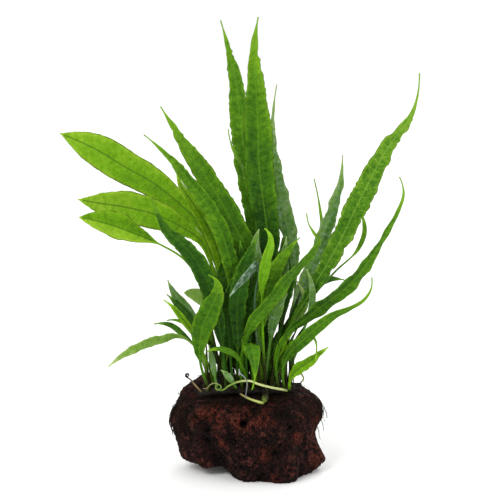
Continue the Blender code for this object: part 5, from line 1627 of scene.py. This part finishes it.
YOUNG = (
    YoungStalk("crozier_left", ((-24, -13.4, 42), (-24.6, -15.6, 43.4), (-27, -15.5, 46), (-30, -15, 49.4))
               + curl((-31.2, -15.2, 51.4), 0.55, -1.35, 0.95, 0.35), 0.40, 0.36,
               ((0.0, srgb(70, 62, 32)), (0.35, srgb(132, 112, 74)), (0.5, srgb(92, 80, 50)), (0.58, srgb(14, 16, 14)))),
    YoungStalk("young_frond_curled", ((18.4, -12.4, 42.8), (17, -14.2, 43.6), (10, -18.5, 46), (4, -20, 48), (0, -20.3, 49.6),
                                      (-5, -19.5, 49.2), (-10, -18.5, 47), (-14, -18, 44.4))
               + curl((-15.6, -18.6, 46.1), 0.80, -1.15, 1.6, 1.05), 0.68, 0.38,
               ((0.0, srgb(96, 108, 44)), (0.10, srgb(176, 184, 120)), (0.45, srgb(186, 196, 132)), (0.62, srgb(116, 142, 56)),
                (1.0, srgb(84, 112, 46)))),
    YoungStalk("young_stipe_front", ((6.6, -22.6, 39.0), (5, -23.9, 39.6), (3, -25.4, 40.6), (-1, -26.4, 42.4),
                                     (-5, -26.6, 44.8)), 0.75, 0.45,
               ((0.0, srgb(100, 116, 44)), (0.2, srgb(176, 186, 106)), (0.6, srgb(150, 152, 84)), (1.0, srgb(104, 84, 48)))),
    YoungStalk("young_stipe_hooked", ((20.2, -7.4, 44.6), (20.5, -6.2, 46.2), (22, -4.5, 50), (24, -3.5, 51.2), (26, -3, 49),
                                      (27, -3, 46.5), (25.5, -3, 44.8)), 0.6, 0.4,
               ((0.0, srgb(78, 60, 32)), (0.45, srgb(120, 124, 60)), (1.0, srgb(140, 158, 80)))),
    YoungStalk("tendril_left", ((-15.9, -19.4, 47.8), (-17.6, -19.6, 48.4), (-19.6, -19.8, 47.6), (-21.6, -19.8, 45.8),
                                (-23.4, -19.4, 45.6)), 0.34, 0.24,
               ((0.0, srgb(132, 140, 86)), (1.0, srgb(110, 92, 66))), solid=False),
    YoungStalk("stalk_brown_left", ((11, -9.4, 43.6), (12.5, -10, 47.2), (15.5, -12, 52.8), (19.0, -12, 58.4),
                                    (23.4, -12, 64.0)), 0.5, 0.35,
               ((0.0, srgb(52, 34, 18)), (1.0, srgb(60, 46, 22))), solid=False),
    YoungStalk("stalk_brown_right", ((19.4, -8, 43.8), (20.6, -6, 45.7), (21.6, -6, 51.9), (22.1, -6, 58.6), (23.5, -6, 66)),
               0.5, 0.35, ((0.0, srgb(52, 34, 18)), (1.0, srgb(78, 50, 30))), solid=False),
    YoungStalk("root_pale", ((-5.2, -17, 53.6), (-4.5, -20, 53.1), (-2.5, -22, 51.6), (-1.5, -24, 49.5), (-1.7, -26, 46.4),
                             (-2.4, -27, 42.4)), 0.3, 0.2,
               ((0.0, srgb(150, 160, 178)), (0.5, srgb(120, 124, 110)), (1.0, srgb(96, 98, 112))), solid=False),
)


THICKETS = (
    Thicket(34, (24, 52), (2.6, 5.0), (0.30, 0.25, 0.0), (-18, 20), (-9, 4), Tone.SHADED_DEEP),
    Thicket(22, (30, 66), (3.5, 6.5), (0.16, 0.20, 0.0), (-12, 14), (-6, 6), Tone.SHADED_DEEP),
    Thicket(18, (14, 30), (1.8, 3.4), (0.45, 0.35, 0.0), (-22, 24), (-13, -2), Tone.GREEN),
)


# Roots.


@dataclass(frozen=True)
class RootPatch:
    """Roots that creep over the stone from one place.

    Attributes:
        count: How many.
        start: Middle of the places where they start.
        spread: How far the starts lie to each side of it.
        heading: Where they mostly go.
        stray: How much each goes its own way.
        steps: Steps that each takes.
        stride: Millimetres to a step.
        radius: Thickest and thinnest radius.
        clear: How far above the stone they lie.
        shade: Darkest and lightest shade, from 0 to 1.
    """

    count: int
    start: Point
    spread: Point
    heading: Point
    stray: float = 0.6
    steps: int = 13
    stride: float = 1.2
    radius: tuple[float, float] = (0.22, 0.10)
    clear: tuple[float, float] = (0.1, 0.9)
    shade: tuple[float, float] = (0.0, 0.35)

    def loops(self, stone: LavaStone, seed: int) -> Array:
        """Rings along creeping roots: each step goes on along a heading that turns by a random amount, drifts back
        to the common one and stays level with the stone, and its end is laid back on the stone's surface.

        Args:
            stone: What they creep over.
            seed: Picks another set.

        Returns:
            The rings' points, one set for each root.
        """
        rng = np.random.default_rng(seed)
        place = np.array(self.start) + rng.uniform(-1.0, 1.0, (self.count, 3)) * self.spread
        common = unit(np.array(self.heading)) + rng.normal(size=(self.count, 3)) * self.stray
        going, lift = common, rng.uniform(*self.clear, self.count)
        trail = []
        for _ in range(self.steps):
            outward = stone.aim(place)
            place = stone.skin(outward, lift)
            trail.append(place)
            lift = np.clip(lift + rng.normal(size=self.count) * 0.14, self.clear[0], self.clear[1])
            going = square_to(going + 0.25 * common + rng.normal(size=(self.count, 3)) * 0.38, outward)
            place = place + going * self.stride
        path = np.stack(trail, axis=1)
        path[..., 2] = np.maximum(path[..., 2], 0.4)
        direction = unit(np.gradient(path, axis=1))
        share = np.linspace(0.0, 1.0, self.steps)
        radii = (self.radius[0] + (self.radius[1] - self.radius[0]) * share) * rng.uniform(0.7, 1.25, (self.count, 1))
        reference = unit(path - np.array(stone.middle))
        return tube_loops(path, direction, radii, 4, reference)

    def shades(self, seed: int) -> Array:
        """One shade for each root."""
        return np.random.default_rng(seed + 1).uniform(*self.shade, self.count)


@dataclass(frozen=True)
class Roots:
    """The felt under the stem, the nets of roots that creep over the stone, and the loose strands at its right
    shoulder.

    Attributes:
        middle: Middle of the felt in plan.
        half: Half its length and half its width.
        thick: Its thickness in the middle.
        patches: The nets.
        strands: Loose strands, each a few points.
        finish: The finish of them all.
    """

    middle: tuple[float, float] = (-1.0, -8.0)
    half: tuple[float, float] = (27.0, 9.0)
    thick: float = 1.2
    patches: tuple[RootPatch, ...] = (
        RootPatch(150, (-1, -11, 41), (25, 5, 0), (0, -1, -0.2), 0.9, 11, 1.1),
        RootPatch(26, (2, -22, 38), (24, 3, 0), (0.1, -0.3, -1), 0.6, 11, 1.1, shade=(0.0, 0.2)),
        RootPatch(70, (-32, -9, 35), (5, 7, 4), (-0.2, -0.35, -1), 0.6, 17, 1.15, (0.16, 0.08), (0.2, 1.0), (0.0, 0.4)),
        RootPatch(24, (29, -8, 37), (5, 8, 3), (0.6, -0.2, -1), 0.6, shade=(0.0, 0.5)),
        RootPatch(60, (0, 2, 43), (22, 5, 0), (0, 1, -0.1), 0.9),
        RootPatch(24, (0, 16, 40), (20, 4, 2), (0, 0.4, -1), 0.6),
    )
    strands: tuple = (
        ((29, -7, 41), (33, -8, 39.2), (36.6, -8.4, 34.5), (38.4, -8.6, 28)),
        ((28.5, -8, 40.6), (32.6, -9, 38.8), (36, -9.6, 35.0), (38.9, -9.8, 30.4)),
        ((29, -6, 41), (33.6, -6.6, 38.2), (36.4, -7, 33.5), (37.4, -7.4, 29.0)),
        ((30, -9, 39.6), (33.8, -10, 36.8), (36.2, -10.2, 32.5), (36.6, -10.2, 27.5)),
        ((31, -5, 40), (35, -5.4, 36.5), (36.6, -5.8, 31), (37.8, -6.2, 25.5)),
        ((30, -7.4, 40.4), (34.6, -8, 37.6), (37.6, -8.2, 33.0), (39.6, -8.2, 27.4)),
        ((34, -7, 30), (36, -7.6, 26), (37.0, -8, 22.6), (37.4, -8, 20.8)),
        ((33, -6, 24), (34.6, -6.6, 20), (34.8, -7, 17.6), (35.6, -7.2, 16.0)),
    )
    finish: RootFinish = RootFinish()

    def felt(self, stone: LavaStone, material: bpy.types.Material) -> bpy.types.Object:
        """The felt: a cushion over the stone's top. Seen from above it is an ellipse with a ragged edge; a loop goes
        from its middle over the upper face to the edge and back below, and the height over the stone is the
        thickness times the root of one minus the squared way out, roughened by noise.

        Args:
            stone: What it lies on.
            material: Its material.

        Returns:
            The felt, in place of its solid.
        """
        rings, sides = 22, 96
        way = np.sin(np.linspace(0.03, math.pi - 0.03, 2 * rings))[:, None]
        over = np.where(np.arange(2 * rings) < rings, 1.0, 0.0)[:, None]
        angle = 2.0 * math.pi * np.arange(sides)[None, :] / sides
        ragged = 1.0 + 0.07 * np.sin(angle * 7.0 + 0.5) + 0.06 * np.sin(angle * 17.0) + 0.05 * np.sin(angle * 31.0 + 2.0)
        x = self.middle[0] + self.half[0] * way * ragged * np.cos(angle)
        y = self.middle[1] + self.half[1] * way * ragged * np.sin(angle)
        towards = stone.aim(np.stack((x, y, np.full_like(x, 40.0)), axis=-1))
        height = self.thick * np.sqrt(np.clip(1.0 - way**2, 0.0, 1.0)) * over - 0.35 * (1.0 - over)
        places = stone.skin(towards, height)
        rough = rough_noise(places, 1.6, 3, 81) * 0.55 * over * np.clip(1.2 - way**4, 0.0, 1.0)
        places = places + towards * rough[..., None]
        quads, fans = loop_faces(2 * rings, sides)
        shade = np.clip(0.12 + 0.5 * rough, 0.0, 0.5)
        marks = {"shade": close_ends(shade[..., None])[:, 0]}
        piece = make_piece("root_felt", close_ends(places), quads, fans, marks)
        return dress(piece, material, ("root_mat",))

    def loose(self, material: bpy.types.Material) -> bpy.types.Object:
        """The loose strands, each a thin tube along a smooth path that narrows to its end.

        Args:
            material: Their material.

        Returns:
            The strands, in place of the tuft's solid.
        """
        made = [smooth_path(points, 26) for points in self.strands]
        path = np.stack([pair[0] for pair in made])
        direction = np.stack([pair[1] for pair in made])
        rng = np.random.default_rng(SEED + 30)
        path = path + np.cumsum(rng.normal(size=path.shape), axis=1) * 0.05
        radii = rng.uniform(0.17, 0.27, (len(made), 1)) * np.linspace(1.0, 0.45, 26)
        loops = tube_loops(path, direction, radii, 8, np.array(BACK))
        piece = make_batch("root_strands", loops, {"shade": rng.uniform(0.05, 0.5, len(made))})
        return dress(piece, material, ("root_tuft",))

    def build(self, stone: LavaStone) -> None:
        """Builds the felt, the nets and the loose strands.

        Args:
            stone: What they lie on.
        """
        material = self.finish.material("root_fibre")
        self.felt(stone, material)
        for number, patch in enumerate(self.patches):
            seed = SEED + 100 * (number + 1)
            piece = make_batch(f"root_net_{number + 1}", patch.loops(stone, seed), {"shade": patch.shades(seed)})
            dress(piece, material)
        self.loose(material)


# The studio.


@dataclass(frozen=True)
class Lamp:
    """A soft square lamp that looks at the plant.

    Attributes:
        name: Its name.
        place: Where it hangs, in metres.
        size: Its edge, in metres.
        power: Its power, in watts.
    """

    name: str
    place: Point
    size: float
    power: float

    def build(self, target: Array) -> None:
        """Hangs the lamp, turned towards the target."""
        light = bpy.data.lights.new(self.name, "AREA")
        light.size = self.size
        light.energy = self.power
        lamp = bpy.data.objects.new(self.name, light)
        lamp.location = self.place
        lamp.rotation_euler = turned_to(np.array(self.place), target)
        bpy.context.scene.collection.objects.link(lamp)


def turned_to(place: Array, target: Array) -> tuple[float, float, float]:
    """Euler angles that point an object's -Z from its place to the target, with its top up."""
    way = target - place
    level = math.hypot(way[0], way[1])
    return (math.atan2(level, -way[2]), 0.0, math.atan2(-way[0], way[1]))


@dataclass(frozen=True)
class Studio:
    """The pale floor, the soft light and the camera.

    Attributes:
        target: What the camera looks at, in metres.
        distance: How far off it stands.
        elevation: How far above the level it looks from, in degrees.
        lens: Its focal length, in millimetres, on a sensor 36 mm wide.
        reach: Half the floor's width, in metres.
        sky: Strength of the even white light from all round.
        lamps: The lamps.
    """

    target: Point = (0.0, 0.0, 0.112)
    distance: float = 1.1
    elevation: float = 10.0
    lens: float = 158.4
    reach: float = 2.2
    sky: float = 1.0
    lamps: tuple[Lamp, ...] = (
        Lamp("key_lamp", (-0.9, -1.5, 1.5), 0.9, 26.0),
        Lamp("fill_lamp", (1.3, -1.2, 0.7), 1.2, 8.0),
        Lamp("rim_lamp", (0.5, 1.4, 1.3), 0.9, 9.0),
    )

    def floor(self) -> bpy.types.Object:
        """A level sheet under the stone: rings about the origin whose radius grows with the square of the way out.

        Returns:
            The floor, which rides on no body of the object.
        """
        way = np.linspace(0.02, 1.0, 24)[:, None]
        angle = 2.0 * math.pi * np.arange(64)[None, :] / 64
        out = self.reach / MM * way**2
        loops = np.stack(np.broadcast_arrays(out * np.cos(-angle), out * np.sin(-angle), np.zeros_like(out)), axis=-1)
        quads, fans = loop_faces(24, 64)
        places = np.concatenate((loops.reshape(-1, 3), np.zeros((1, 3))))
        piece = make_piece("floor", places, quads[:, ::-1], fans[:64, ::-1], {})
        piece.data.materials.append(FloorFinish().material("floor"))
        return piece

    def camera(self) -> bpy.types.Object:
        """The camera, level with the picture's frame.

        Returns:
            The camera, set as the scene's.
        """
        tilt = math.radians(self.elevation)
        away = np.array((0.0, -math.cos(tilt), math.sin(tilt))) * self.distance
        data = bpy.data.cameras.new("camera")
        data.lens = self.lens
        data.sensor_width = 36.0
        data.clip_end = 60.0
        camera = bpy.data.objects.new("camera", data)
        camera.location = tuple(np.array(self.target) + away)
        camera.rotation_euler = (math.radians(90.0) - tilt, 0.0, 0.0)
        bpy.context.scene.collection.objects.link(camera)
        bpy.context.scene.camera = camera
        return camera

    def build(self) -> None:
        """Sets up the world, the lamps, the floor and the camera."""
        world = bpy.data.worlds.new("studio")
        world.use_nodes = True
        world.node_tree.nodes["Background"].inputs["Color"].default_value = (1.0, 1.0, 1.0, 1.0)
        world.node_tree.nodes["Background"].inputs["Strength"].default_value = self.sky
        bpy.context.scene.world = world
        bpy.context.scene.view_settings.view_transform = "Standard"
        for lamp in self.lamps:
            lamp.build(np.array(self.target))
        self.floor()
        self.camera()


def main() -> None:
    """Builds the studio, the stone, the stem, the roots, the young stalks, the fronds and the thicket."""
    logging.basicConfig(level=logging.INFO, format="%(message)s")
    Studio().build()
    stone = LavaStone()
    stone.build()
    CreepingStem().build()
    Roots().build(stone)
    for stalk in YOUNG:
        stalk.build()
    for frond in FRONDS:
        frond.build()
    for number, thicket in enumerate(THICKETS):
        thicket.build(f"small_fronds_{number + 1}", stone, SEED + 40 + number)


if __name__ == "__main__":
    main()
